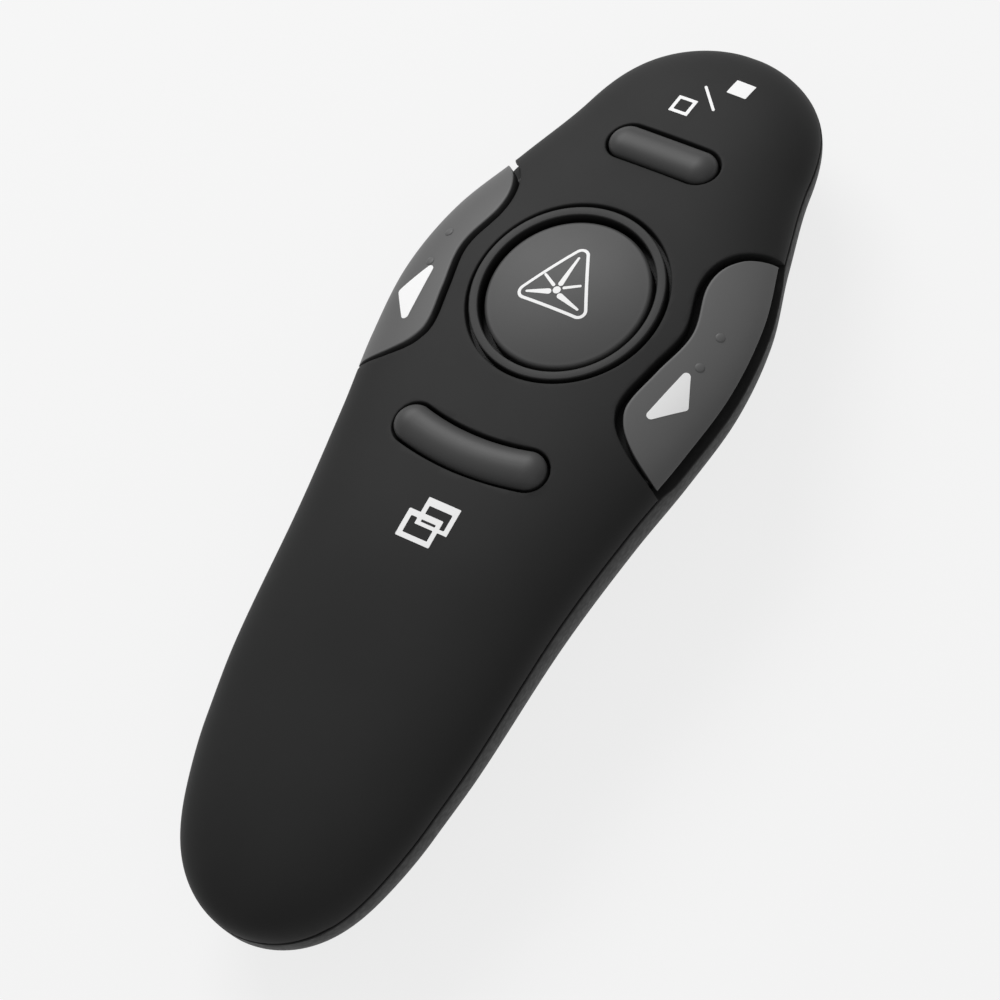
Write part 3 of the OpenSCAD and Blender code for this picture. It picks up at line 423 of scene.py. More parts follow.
def bentHole(s, r):
    limit = math.asin(keys["windowReach"] / keys["windowBend"])

    def distance(p):
        dx, dy = p.x, s + keys["windowBend"] - p.y
        angle = math.atan2(dx, dy)
        if abs(angle) < limit and dy > 0:
            return abs(math.hypot(dx, dy) - keys["windowBend"]) - r
        end = math.copysign(limit, dx)
        cx, cy = keys["windowBend"] * math.sin(end), keys["windowBend"] * math.cos(end)
        return math.hypot(dx - cx, dy - cy) - r
    return distance


def boxHole(x0, x1, s0, s1, corner=0.4):
    cx, cy, hx, hy = (x0 + x1) / 2, (s0 + s1) / 2, (x1 - x0) / 2 - corner, (s1 - s0) / 2 - corner

    def distance(p):
        qx, qy = abs(p.x - cx) - hx, abs(p.y - cy) - hy
        return math.hypot(max(qx, 0), max(qy, 0)) + min(max(qx, qy), 0) - corner
    return distance


def wingHole(side):
    steps, outside, overrun, leastX, farAway = 44, 30, 0.8, 9, 6.0
    border = [(outside, wingStart - overrun)]
    for i in range(steps + 1):
        s = wingStart + (wingEnd - wingStart) * i / steps
        border.append((curveAt(keys["wingEdge"], s), s))
    border.append((outside, wingEnd + overrun))

    def distance(p):
        x = p.x * side
        if x < leastX or not wingStart - farAway < p.y < wingEnd + farAway:
            return farAway
        best = 1e9
        inside = False
        for (xa, sa), (xb, sb) in zip(border, border[1:]):
            dx, ds = xb - xa, sb - sa
            t = max(0, min(1, ((x - xa) * dx + (p.y - sa) * ds) / (dx * dx + ds * ds)))
            best = min(best, math.hypot(x - xa - t * dx, p.y - sa - t * ds))
            if (sa > p.y) != (sb > p.y) and x > xa + (p.y - sa) / ds * dx:
                inside = not inside
        return -best if inside else best
    return distance


# one output of a node, so that sums on it can be written plainly
class Wire:
    def __init__(self, work, socket):
        self.work, self.socket = work, socket

    def sum(self, operation, *inputs):
        return self.work.node("ShaderNodeMath", {"operation": operation}, dict(enumerate(inputs)))

    def __add__(self, other):
        return self.sum("ADD", self, other)

    def __mul__(self, other):
        return self.sum("MULTIPLY", self, other)

    def __sub__(self, other):
        return self.sum("SUBTRACT", self, other)

    def __rsub__(self, other):
        return self.sum("SUBTRACT", other, self)

    def __gt__(self, other):
        return self.sum("GREATER_THAN", self, other)

    __radd__ = __add__
    __rmul__ = __mul__


# adds nodes to a material or to the world
class NodeWork:
    def __init__(self, owner):
        owner.use_nodes = True
        self.owner = owner
        owner.node_tree.nodes.clear()

    def node(self, kind, settings=None, links=None, output=0):
        made = self.owner.node_tree.nodes.new(kind)
        for name, value in (settings or {}).items():
            setattr(made, name, value)
        for name, value in (links or {}).items():
            if isinstance(value, Wire):
                self.owner.node_tree.links.new(value.socket, made.inputs[name])
            else:
                made.inputs[name].default_value = value
        return Wire(self, made.outputs[output]) if made.outputs else None

    def place(self):
        return self.node("ShaderNodeTexCoord", output="Object")

    def noise(self, scale, detail=2.0, rough=0.5, place=None):
        return self.node("ShaderNodeTexNoise", None, {
            "Vector": place or self.place(), "Scale": scale, "Detail": detail, "Roughness": rough}, "Fac")

    def mix(self, amount, first, second):
        return self.node("ShaderNodeMix", {"data_type": "RGBA"},
                         {"Factor": amount, 6: first, 7: second}, 2)

    def bump(self, height, depth, strength=0.6, normal=None):
        links = {"Height": height, "Distance": depth, "Strength": strength}
        if normal:
            links["Normal"] = normal
        return self.node("ShaderNodeBump", None, links)

    def finish(self, **links):
        named = {name.replace("_", " "): value for name, value in links.items()}
        shader = self.node("ShaderNodeBsdfPrincipled", None, named)
        self.node("ShaderNodeOutputMaterial", None, {"Surface": shader})
        return self.owner


def grey(level, warmth=0.0):
    return (level * (1 + warmth), level, level * (1 - warmth), 1.0)


def shade(colour, share):
    return (colour[0] * share, colour[1] * share, colour[2] * share, 1.0)


# painted or moulded plastic: faint clouds in the colour, smudges in the gloss and a fine grain
def softPlastic(name, colour, rough, shine, grain=5200, depth=0.000006, mottle=0.1, wallShade=None):
    look = {"clouds": 90, "smudges": 38, "smudgeGloss": 0.14, "grainGloss": 0.06, "glossShift": 0.1}
    work = NodeWork(bpy.data.materials.new(name))
    cloud = work.noise(look["clouds"], 3)
    smudge = work.noise(look["smudges"], 4, 0.6)
    fine = work.noise(grain, 2, 0.6)
    base = work.mix(cloud, shade(colour, 1 - mottle), shade(colour, 1 + mottle))
    if wallShade:  # these pieces get painted shade, near-black down their walls
        unshadedShare = work.node("ShaderNodeAttribute", {"attribute_name": "unshadedShare"}, output="Fac")
        base = work.mix(unshadedShare, wallShade, base)
    return work.finish(
        Base_Color=base,
        Roughness=smudge * look["smudgeGloss"] + fine * look["grainGloss"] + (rough - look["glossShift"]),
        Specular_IOR_Level=shine,
        Normal=work.bump(fine, depth),
    )


# plastic from a spark-eroded mould: small rounded pits over a finer grain
def sparkPlastic(name, colour, rough, shine, cell=1500, depth=0.00003):
    look = {"clouds": 70, "mottle": 0.12, "pitRound": 0.6, "pitGloss": 0.18, "cloudGloss": 0.08,
            "glossShift": 0.12}
    work = NodeWork(bpy.data.materials.new(name))
    pits = work.node("ShaderNodeTexVoronoi", {"feature": "SMOOTH_F1"},
                     {"Vector": work.place(), "Scale": cell, "Smoothness": look["pitRound"]}, "Distance")
    fine = work.noise(cell * 3, 2, 0.6)
    cloud = work.noise(look["clouds"], 3)
    return work.finish(
        Base_Color=work.mix(cloud, shade(colour, 1 - look["mottle"]), shade(colour, 1 + look["mottle"])),
        Roughness=pits * look["pitGloss"] + cloud * look["cloudGloss"] + (rough - look["glossShift"]),
        Specular_IOR_Level=shine,
        Normal=work.bump(pits, depth, 0.7, work.bump(fine, depth / 4, 0.5)),
    )


# metal with drawing lines across its stretch and a little tarnish
def metal(name, colour, rough, stretch=(1, 1, 1), wear=0.15):
    look = {"lines": 1700, "lineGloss": 0.16, "lineDepth": 0.000004,
            "tarnish": 240, "tarnishGloss": 0.1, "glossShift": 0.13}
    work = NodeWork(bpy.data.materials.new(name))
    drawn = work.node("ShaderNodeMapping", None, {"Vector": work.place(), "Scale": stretch})
    lines = work.noise(look["lines"], 3, 0.6, drawn)
    tarnish = work.noise(look["tarnish"], 4, 0.6)
    return work.finish(
        Base_Color=work.mix(tarnish, shade(colour, 1 - wear), colour),
        Metallic=1.0,
        Roughness=lines * look["lineGloss"] + tarnish * look["tarnishGloss"] + (rough - look["glossShift"]),
        Normal=work.bump(lines, look["lineDepth"], 0.5),
    )


def clearPlastic(name, colour, rough):
    work = NodeWork(bpy.data.materials.new(name))
    flow = work.noise(120, 2)
    return work.finish(
        Base_Color=work.mix(flow, shade(colour, 0.92), colour),
        Roughness=flow * 0.03 + rough,
        Transmission_Weight=0.9,
        IOR=1.49,
    )


# solder mask, paler over a net of tracks, with the weave of the board showing faintly
def circuitBoard(name):
    work = NodeWork(bpy.data.materials.new(name))
    tracks = work.node("ShaderNodeTexBrick", {"offset": 0.5, "squash": 1.0}, {
        "Vector": work.place(), "Color1": grey(0.0), "Color2": grey(0.0), "Mortar": grey(1.0),
        "Scale": 420.0, "Mortar Size": 0.06, "Brick Width": 0.9, "Row Height": 0.32}, "Fac")
    weave = work.noise(2600, 2)
    mask = work.mix(tracks, (0.008, 0.07, 0.032, 1), (0.016, 0.12, 0.055, 1))
    return work.finish(
        Base_Color=work.mix(weave * 0.25, mask, (0.004, 0.03, 0.014, 1)),
        Roughness=weave * 0.1 + 0.26,
        Normal=work.bump(tracks, 0.00003, 0.5),
    )


# printed sleeve of a cell: dark, with bare steel ends and a copper band at the end that has the nub
def cellSleeve(name):
    cellSpan = {"from": 14.0, "to": 58.4, "bareAndShade": 0.55, "nub": 1.2, "band": 9.5}
    work = NodeWork(bpy.data.materials.new(name))
    parts = work.node("ShaderNodeSeparateXYZ", None, {0: work.place()})
    x, y = parts, Wire(work, parts.socket.node.outputs[1])
    turned = (x > 0.0) * -2.0 + 1.0
    centre = ((cellSpan["from"] + cellSpan["to"]) / 2 - middle) * mm
    half = (cellSpan["to"] - cellSpan["from"]) / 2 * mm
    along = (y - centre) * turned
    isBand = along > half - cellSpan["band"] * mm
    isFront = along > half - (cellSpan["nub"] + cellSpan["bareAndShade"]) * mm
    isRear = (along * -1.0) > half - cellSpan["bareAndShade"] * mm
    isEnd = isFront + isRear
    scuff = work.noise(300, 4, 0.65)
    sleeve = work.mix(isBand, grey(0.018), (0.52, 0.26, 0.1, 1))
    return work.finish(
        Base_Color=work.mix(isEnd, sleeve, grey(0.62)),
        Metallic=isBand * 0.7 + isEnd,
        Roughness=scuff * 0.16 + 0.2,
        Normal=work.bump(scuff, 0.000008, 0.4),
    )


finishOf = {
    "case_top": softPlastic("softBlack", grey(0.021), rough=0.6, shine=0.16),
    "case_bottom": sparkPlastic("sparkBlack", grey(0.02), rough=0.56, shine=0.22),
    "trim": sparkPlastic("trimBlack", grey(0.026), rough=0.5, shine=0.2, cell=2400, depth=0.000016),
    "key_dark": softPlastic("keyDark", grey(0.062), rough=0.55, shine=0.22),
    "key_grey": softPlastic("keyGrey", grey(0.105), rough=0.5, shine=0.24, mottle=0.06),
    "switch_black": softPlastic("switchBlack", grey(0.008), rough=0.5, shine=0.25),
    "plunger_ivory": softPlastic("plungerIvory", (0.5, 0.47, 0.38, 1), rough=0.4, shine=0.5),
    "board_green": circuitBoard("boardGreen"),
    "chip_black": sparkPlastic("chipBlack", grey(0.014), rough=0.6, shine=0.3, cell=2600, depth=0.000012),
    "tin_plate": metal("tinPlate", grey(0.62, 0.01), rough=0.34),
    "ceramic": softPlastic("ceramicTan", (0.38, 0.27, 0.16, 1), rough=0.5, shine=0.4,
                           grain=2400, depth=0.00001, mottle=0.2),
    "copper_gold": metal("copperGold", (0.85, 0.58, 0.28, 1), rough=0.28),
    "brass": metal("turnedBrass", (0.72, 0.5, 0.22, 1), rough=0.3, stretch=(1, 14, 1)),
    "spring_steel": metal("springSteel", grey(0.58), rough=0.26),
    "screw_steel": metal("screwSteel", grey(0.42, 0.01), rough=0.34),
    "nickel": metal("nickelPlate", grey(0.66, 0.02), rough=0.24, stretch=(1, 8, 1)),
    "lens_clear": clearPlastic("lensClear", (0.93, 0.96, 0.98, 1), rough=0.02),
    "window_red": clearPlastic("windowRed", (0.35, 0.015, 0.015, 1), rough=0.05),
    "lead_red": softPlastic("leadRed", (0.42, 0.02, 0.015, 1), rough=0.38, shine=0.5),
    "cell_sleeve": cellSleeve("cellSleeve"),
    "tongue_white": softPlastic("tongueWhite", grey(0.72, 0.01), rough=0.4, shine=0.5, mottle=0.03),
}
# near-black painted shade for the walls of gaps and grooves, and the materials that carry it
paintedWallShade = grey(0.006)
wallShaded = {
    "key_dark": softPlastic("wallShadedDark", grey(0.056), rough=0.46, shine=0.27, wallShade=paintedWallShade),
    "key_grey": softPlastic("wallShadedGrey", grey(0.118), rough=0.48, shine=0.26,
                            mottle=0.06, wallShade=paintedWallShade),
    "trim": softPlastic("wallShadedTrim", grey(0.023), rough=0.5, shine=0.22, wallShade=paintedWallShade),
}
ink = softPlastic("inkWhite", grey(0.97), rough=0.55, shine=0.3, grain=6500, depth=0.000004, mottle=0.01)

slotOf = {row["node"]: row["material_slot"] for row in frame["record"]["subparts"]}
for nodeName, node in frame["nodes"].items():
    node.data.materials.clear()
    node.data.materials.append(finishOf[slotOf[nodeName]])
print("finishes ready:", len(bpy.data.materials))


# moves a piece that was shaped in millimetres to its place, and hangs it on its body
def place(obj, name, bodyName, slotName, replaced=(), local=None, finish=None):
    toFrame = Matrix.Scale(mm, 4) @ Matrix.Translation((0, -middle, 0))
    obj.data.transform(toFrame @ (local or Matrix.Identity(4)))
    obj.matrix_world = Matrix.Identity(4)
    obj.name = obj.data.name = name
    makeActive(obj)
    bpy.ops.object.shade_smooth_by_angle(angle=math.radians(35))
    useModifier(obj, "WEIGHTED_NORMAL", keep_sharp=True, weight=60)
    obj.data.materials.clear()
    obj.data.materials.append(finish or finishOf[slotName])
    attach(obj, bodyName)
    if replaced:
        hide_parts(*replaced)
    print(name + ":", len(obj.data.polygons), "faces")
    return obj


seatRadius = keys["laserRadius"] + keys["laserGap"] + keys["ringWidth"] + keys["grooveWidth"]
skinCells = {"across": 116, "along": 250}
nose = {"axis": 11.0, "holeRear": 120.0, "edge": 0.1,
        "collar": 3.2, "collarRear": 123.8, "collarFront": 124.8}
rimBevel = {"width": 0.2, "atTips": 0.2, "run": 3, "delay": 0.3}


def noseHole(p):
    return math.hypot(p.x, p.z - nose["axis"]) - body["lightHole"] if p.y > nose["holeRear"] else 6.0


def makeTopShell():
    shell = sheet(skinCells["across"], skinCells["along"], onDome, [
        roundHole(0, keys["laserStation"], seatRadius),
        barHole(keys["blankStation"], keys["blankReach"], keys["barRadius"] + keys["barGap"]),
        bentHole(keys["windowStation"], keys["barRadius"] + keys["barGap"]),
        wingHole(1), wingHole(-1), noseHole,
    ], body["wall"], 0, even=False)
    tips = [(x, s) for s, x in (keys["wingEdge"][0], keys["wingEdge"][-1])]
    tips.append((body["lightHole"], body["length"]))

    def share(p):
        toTip = min(math.hypot(abs(p.x) - x, p.y - s) for x, s in tips)
        grown = easeIn(toTip / rimBevel["run"] - rimBevel["delay"])
        return rimBevel["atTips"] + (1 - rimBevel["atTips"]) * grown
    bevelTapered(shell, rimBevel["width"], share)
    place(shell, "topShell", "case", "case_top", ["top_shell"])


# closed profile of a ring with its two upper edges rounded
def roundedRim(size, steps=5):
    inner, outer, low, high, edge = (size[k] for k in ("inner", "outer", "low", "high", "edge"))
    quarter = [math.pi / 2 * i / steps for i in range(steps + 1)]
    points = [(inner, low), (outer, low)]
    points += [(outer - edge + edge * math.cos(a), high - edge + edge * math.sin(a)) for a in quarter]
    points += [(inner + edge - edge * math.sin(a), high - edge + edge * math.cos(a)) for a in quarter]
    return points + [(inner, low)]


# ledge inside the shell that the trim ring lies on; its near-black switch finish is painted shade, seen
# through the ring's gap
def makeSeat():
    seat = {"inner": 11.3, "outer": seatRadius + 1.2, "low": -3.2, "high": -2.02, "edge": 0.15}
    ledge = turnedPiece(roundedRim(seat, steps=2), segments=160)
    place(ledge, "ringSeat", "case", "switch_black", (), crownFrame(keys["laserStation"]))


def makeTrimRing():
    ring = {"inner": 11.02, "outer": 12.18, "low": -2.0, "high": -0.2, "edge": 0.18,
            "shadeBelow": 0.1, "fade": 0.3}
    rim = turnedPiece(roundedRim(ring), segments=160)
    # painted shade: the ring goes near-black down its walls, into the grooves beside it
    shadeWalls(rim, lambda p: ring["high"] - p.z, ring["shadeBelow"], ring["fade"])
    place(rim, "trimRing", "case", "trim", ["trim_ring"],
          crownFrame(keys["laserStation"]), wallShaded["trim"])


def makeNoseCollar():
    collar = {"inner": body["lightHole"], "outer": nose["collar"], "low": 0,
              "high": nose["collarFront"] - nose["collarRear"], "edge": nose["edge"]}
    rim = turnedPiece(roundedRim(collar, steps=2), segments=64)
    ahead = Matrix.Rotation(-math.pi / 2, 4, "X")
    toNose = Matrix.Translation((0, nose["collarRear"], nose["axis"])) @ ahead
    place(rim, "noseCollar", "case", "case_bottom", (), toNose)


makeTopShell()
makeSeat()
makeTrimRing()
makeNoseCollar()

underside = {"edge": 0.16, "floor": 0.9}  # floor: what stands inside starts this far above the skin
cover = {"half": 10.85, "front": 59.7, "top": 6.3, "gap": 0.2, "thick": 1.5, "bevel": 0.1,
         "edgeRear": 11.2, "edgeThick": 0.8, "edgeFoot": 0.6,
         "railIn": 1.0, "railOut": 0.9, "railLow": 5.1, "railHigh": 5.8,
         "railRear": 39.7, "railFront": 56.7,
         "tongueHalf": 4.0, "tongueReach": 2, "tongueLow": 1.6, "tongueHigh": 2.6,
         "grips": 5, "gripHalf": 5.0, "gripRear": 46.7, "gripPitch": 1.8, "gripCut": 0.8, "gripDeep": 0.4,
         "gripEdge": 0.12}
bay = {"half": 10.95, "rear": 12.4, "front": 60.0, "wall": 1.2, "edge": 0.1,
       "roof": 14.45, "roofThick": 1.0, "roofEdge": 0.15, "rearFoot": 0.3,
       "grooveHalf": 0.55, "latchLevel": 2.1, "latchHalf": 0.7, "fit": 0.2,
       "tabIn": 4.2, "tabOut": 6.8, "tabLevel": 14.0, "tabHalf": 0.4}
power = {"half": 2.9, "rear": 96.2, "front": 104.3, "deep": 1.6,
         "station": 99.0, "pad": 1.6, "padHalf": 6.0, "padReach": 7.6,
         "slotHalf": 1.5, "slotRear": 97.5, "slotFront": 103.0}
pocket = {"half": 7.6, "rear": 66.2, "step": 75.7, "plugHalf": 6.2, "front": 88.0,
          "low": 1.0, "roof": 7.4, "wall": 1.2, "edge": 0.12}
screw = {"bore": 2.1, "low": 2.0, "seat": 8.5, "top": 10.5, "outer": 2.9, "hole": 1.05,
         "spots": [(15.1, 65.5), (-15.1, 65.5), (14, 101.5), (-14, 101.5)]}


def insideCover(p, grow):
    return max(abs(p.x) - cover["half"] - grow, p.y - cover["front"] - grow, p.z - cover["top"] - grow)


def makeBottomShell():
    shell = sheet(skinCells["across"], skinCells["along"], onBelly, [
        lambda p: insideCover(p, cover["gap"]),
        boxHole(-pocket["half"], pocket["half"], pocket["rear"], pocket["step"]),
        boxHole(-pocket["plugHalf"], pocket["plugHalf"], pocket["step"] - 1, pocket["front"]),
        boxHole(-power["half"], power["half"], power["rear"], power["front"]),
        noseHole,
    ] + [roundHole(x, s, screw["bore"]) for x, s in screw["spots"]],
        body["wall"], underside["edge"], facing=(0, 0, -1))
    place(shell, "bottomShell", "case", "case_bottom", ["bottom_shell"])


def makeBatteryBay():
    high = bay["roof"] + bay["roofThick"]
    rear, front = bay["rear"] - bay["wall"], bay["front"] + bay["wall"]
    floor = underside["floor"]

    def sideWall(side):
        def surface(u, v):
            s = rear + (front - rear) * u
            low = max(floor, bellyLevel(bay["half"] + bay["wall"] / 2, s) + floor)
            return Vector((side * bay["half"], s, low + (high - low) * (v + 1) / 2))

        def groove(p):
            level = (cover["railLow"] + cover["railHigh"]) / 2
            return max(abs(p.z - level) - bay["grooveHalf"], p.y - cover["railFront"] - bay["fit"])
        return sheet(30, 120, surface, [groove], bay["wall"], bay["edge"], facing=(-side, 0, 0))

    def endWall(station, low, facing, openings):
        def surface(u, v):
            x = bay["half"] * v
            behind = station - facing * bay["wall"]
            foot = max(low, bellyLevel(x, station) + floor, bellyLevel(x, behind) + floor)
            return Vector((x, station, foot + (high - foot) * u))
        return sheet(60, 40, surface, openings, bay["wall"], bay["edge"], facing=(0, facing, 0))

    def latchSlot(p):
        return max(abs(p.x) - cover["tongueHalf"] - bay["fit"],
                   abs(p.z - bay["latchLevel"]) - bay["latchHalf"])

    def tabSlot(p):
        centre, half = (bay["tabIn"] + bay["tabOut"]) / 2, (bay["tabOut"] - bay["tabIn"]) / 2
        return max(abs(abs(p.x) - centre) - half, abs(p.z - bay["tabLevel"]) - bay["tabHalf"])

    out = bay["half"] + bay["wall"]
    roof = block((-out, rear, bay["roof"]), (out, front, high), bay["roofEdge"])
    rearWall = endWall(bay["rear"], cover["top"] + bay["rearFoot"], 1, [])
    frontWall = endWall(bay["front"], floor, -1, [latchSlot, tabSlot])
    tub = joinPieces(sideWall(1), sideWall(-1), rearWall, frontWall, roof)
    place(tub, "batteryBay", "case", "case_bottom")


def makeReceiverPocket():
    points = [(pocket["half"], pocket["rear"]), (pocket["half"], pocket["step"]),
              (pocket["plugHalf"], pocket["step"]), (pocket["plugHalf"], pocket["front"])]
    outline = points + [(-x, s) for x, s in reversed(points)]
    deselectAll()
    bpy.ops.mesh.primitive_circle_add(vertices=len(outline), fill_type="NGON")
    tub = bpy.context.object
    for v, (x, s) in zip(tub.data.vertices, outline):
        v.co = (x, s, pocket["low"])
    startEdit(tub)
    bpy.ops.mesh.select_all(action="SELECT")
    rise = pocket["roof"] - pocket["low"]
    bpy.ops.mesh.extrude_region_move(TRANSFORM_OT_translate={"value": (0, 0, rise)})
    pick(tub, lambda f: abs(f.normal.z) > 0.9 and f.calc_center_median().z < pocket["low"] + 1)
    bpy.ops.mesh.delete(type="FACE")
    bpy.ops.mesh.select_all(action="SELECT")
    bpy.ops.mesh.normals_make_consistent(inside=True)
    endEdit()
    useModifier(tub, "SOLIDIFY", thickness=pocket["wall"], offset=-1, use_even_offset=True)
    bevelEdges(tub, pocket["edge"], segments=2)
    place(tub, "receiverPocket", "case", "case_bottom")


def makeSliderPad():
    rear, front = power["station"] - power["padReach"], power["station"] + power["padReach"]
    half, slotHalf, high = power["padHalf"], power["slotHalf"], power["deep"] + power["pad"]
    pad = block((-half, rear, power["deep"]), (half, front, high), 0.1)
    subtract(pad, block((-slotHalf, power["slotRear"], 0), (slotHalf, power["slotFront"], high + 1), 0))
    place(pad, "sliderPad", "case", "case_bottom")


def makeScrewBosses():
    low, top, seat = screw["low"], screw["top"], screw["seat"]
    profile = [(screw["bore"], low), (screw["outer"], low), (screw["outer"], top), (screw["hole"], top),
               (screw["hole"], seat), (screw["bore"], seat), (screw["bore"], low)]
    bosses = []
    for x, s in screw["spots"]:
        boss = turnedPiece(profile, segments=48)
        boss.data.transform(Matrix.Translation((x, s, 0)))
        for v in boss.data.vertices:
            if v.co.z < low + 0.1:
                v.co.z = min(bellyLevel(v.co.x, v.co.y) + underside["floor"], seat - 0.1)
        bosses.append(boss)
    place(joinPieces(*bosses), "screwBosses", "case", "case_bottom")


def makeBatteryCover():
    half, front, bevel = cover["half"], cover["front"], cover["bevel"]
    skin = sheet(skinCells["across"], skinCells["along"], onBelly, [lambda p: -insideCover(p, 0)],
                 cover["thick"], underside["edge"], facing=(0, 0, -1))
    grips = []
    for i in range(cover["grips"]):
        s = cover["gripRear"] + cover["gripPitch"] * i
        low = (-cover["gripHalf"], s, -1)
        high = (cover["gripHalf"], s + cover["gripCut"], cover["gripDeep"])
        grips.append(block(low, high, cover["gripEdge"]))
    subtract(skin, joinPieces(*grips))

    def edgeWall(side):
        def surface(u, v):
            s = cover["edgeRear"] + (front - cover["edgeRear"]) * u
            foot = bellyLevel(half, s) + cover["edgeFoot"]
            return Vector((side * half, s, foot + (cover["top"] - foot) * (v + 1) / 2))
        return sheet(10, 100, surface, [], cover["edgeThick"], bevel, facing=(side, 0, 0))
    rails = [block((side * (half - cover["railIn"]), cover["railRear"], cover["railLow"]),
                   (side * (half + cover["railOut"]), cover["railFront"], cover["railHigh"]), bevel)
             for side in (-1, 1)]
    tongue = block((-cover["tongueHalf"], front - cover["tongueReach"], cover["tongueLow"]),
                   (cover["tongueHalf"], front + cover["tongueReach"], cover["tongueHigh"]), 2 * bevel)
    whole = joinPieces(skin, edgeWall(1), edgeWall(-1), *rails, tongue)
    place(whole, "batteryCover", "battery_door", "case_bottom", ["battery_cover"])


makeBottomShell()
makeBatteryBay()
makeReceiverPocket()
makeSliderPad()
makeScrewBosses()
makeBatteryCover()

laser = {"rim": -0.7, "rise": 0.95, "edge": 0.5, "fade": 0.2,
         "foot": -3.5, "flange": 12.0, "flangeThick": 1.0}
laserBall = (keys["laserRadius"] ** 2 + laser["rise"] ** 2) / (2 * laser["rise"])


def laserDome(r):
    return laser["rim"] + laser["rise"] - laserBall + math.sqrt(laserBall ** 2 - r * r)


def makeLaserButton():
    r, edge = keys["laserRadius"], laser["edge"]
    foot = laser["foot"]
    points = [(laser["flange"], foot - laser["flangeThick"]), (laser["flange"], foot), (r, foot)]
    top = laserDome(r - edge) - edge
    edgeSteps, domeSteps = 6, 24
    for i in range(edgeSteps + 1):
        a = math.pi / 2 * i / edgeSteps
        points.append((r - edge + edge * math.cos(a), top + edge * math.sin(a)))
    for i in range(1, domeSteps + 1):
        q = (r - edge) * (1 - i / domeSteps)
        points.append((q, laserDome(q)))
    button = turnedPiece(points, segments=160, capped=True)
    # painted shade: the button goes near-black down its side wall, in the groove round it
    shadeWalls(button, lambda p: laser["rim"] - edge - p.z, 0.0, laser["fade"])
    s = keys["laserStation"]
    button.data.transform(crownFrame(s))
    level = topLevel(0, s) + foot - laser["flangeThick"] + stemSize["overlap"]
    button = joinPieces(button, stem(0, s, level))
    place(button, "laserButton", "laser_key", "key_dark", ["laser_button"], None, wallShaded["key_dark"])


bar = {"crest": 0.89, "dome": 1.6, "domePower": 2.1, "bareAndShade": -0.45, "fade": 0.4,
       "flange": 0.5, "flangeThick": 0.8, "edge": 0.12, "shellGap": 0.35,
       "arm": 2.2, "armReach": 5.1, "armEdge": 0.15, "stemInto": 0.3, "switchAhead": 3.3}


# a ball pulled apart at its middle, cut at its equator, drawn down and spread into a flange
def barButton(station, reach, cuts):
    r = keys["barRadius"]
    wide = r + keys["barGap"] + bar["flange"]
    edgeDrop = topLevel(reach + wide, station) - topLevel(0, station)
    flangeTop = edgeDrop - body["wall"] - bar["shellGap"]
    centre = bar["crest"] - bar["dome"]
    deselectAll()
    bpy.ops.mesh.primitive_uv_sphere_add(segments=72, ring_count=56, radius=r, location=(0, 0, centre))
    obj = bpy.context.object
    bpy.ops.object.transform_apply(location=True)
    for v in obj.data.vertices:
        if v.co.z > centre + 1e-4:
            share = max(0.0, 1 - (math.hypot(v.co.x, v.co.y) / r) ** bar["domePower"])
            v.co.z = centre + bar["dome"] * share ** (1 / bar["domePower"])
    startEdit(obj)
    for side in (-1, 1):
        pick(obj, lambda v: v.co.x * side > 1e-4, "verts")
        bpy.ops.transform.translate(value=(side * reach, 0, 0))
    bpy.ops.mesh.select_all(action="SELECT")
    bpy.ops.mesh.bisect(plane_co=(0, 0, centre), plane_no=(0, 0, 1), clear_inner=True)
    for i in range(cuts):
        bpy.ops.mesh.select_all(action="SELECT")
        bpy.ops.mesh.bisect(plane_co=(reach * (2 * (i + 0.5) / cuts - 1), 0, 0), plane_no=(1, 0, 0))
    bpy.ops.mesh.select_mode(type="EDGE")
    bpy.ops.mesh.select_all(action="DESELECT")
    bpy.ops.mesh.select_non_manifold()
    bpy.ops.mesh.extrude_region_move(TRANSFORM_OT_translate={"value": (0, 0, flangeTop - centre)})
    bpy.ops.mesh.extrude_region_move(TRANSFORM_OT_translate={"value": (0, 0, 0)})
    grid = bmesh.from_edit_mesh(obj.data)
    for v in grid.verts:
        if v.select:
            end = max(-reach, min(reach, v.co.x))
            around = Vector((v.co.x - end, v.co.y)).normalized() * wide
            v.co.x, v.co.y = end + around.x, around.y
    bmesh.update_edit_mesh(obj.data)
    bpy.ops.mesh.extrude_region_move(TRANSFORM_OT_translate={"value": (0, 0, -bar["flangeThick"])})
    bpy.ops.mesh.edge_face_add()
    bpy.ops.mesh.select_all(action="SELECT")
    bpy.ops.mesh.normals_make_consistent(inside=False)
    endEdit()
    # painted shade: the bar goes near-black below its rounded top, down the wall in its gap
    shadeWalls(obj, lambda p: bar["bareAndShade"] - p.z, 0.0, bar["fade"])
    return obj, flangeTop


def makeBlankButton():
    s = keys["blankStation"]
    button, flangeTop = barButton(s, keys["blankReach"], cuts=4)
    bevelEdges(button, bar["edge"], segments=2, angle=60)
    button.data.transform(crownFrame(s))
    level = topLevel(0, s) + flangeTop - bar["flangeThick"] + stemSize["overlap"]
    button = joinPieces(button, stem(0, s, level))
    place(button, "blankButton", "blank_key", "key_dark", ["blank_button"], None, wallShaded["key_dark"])


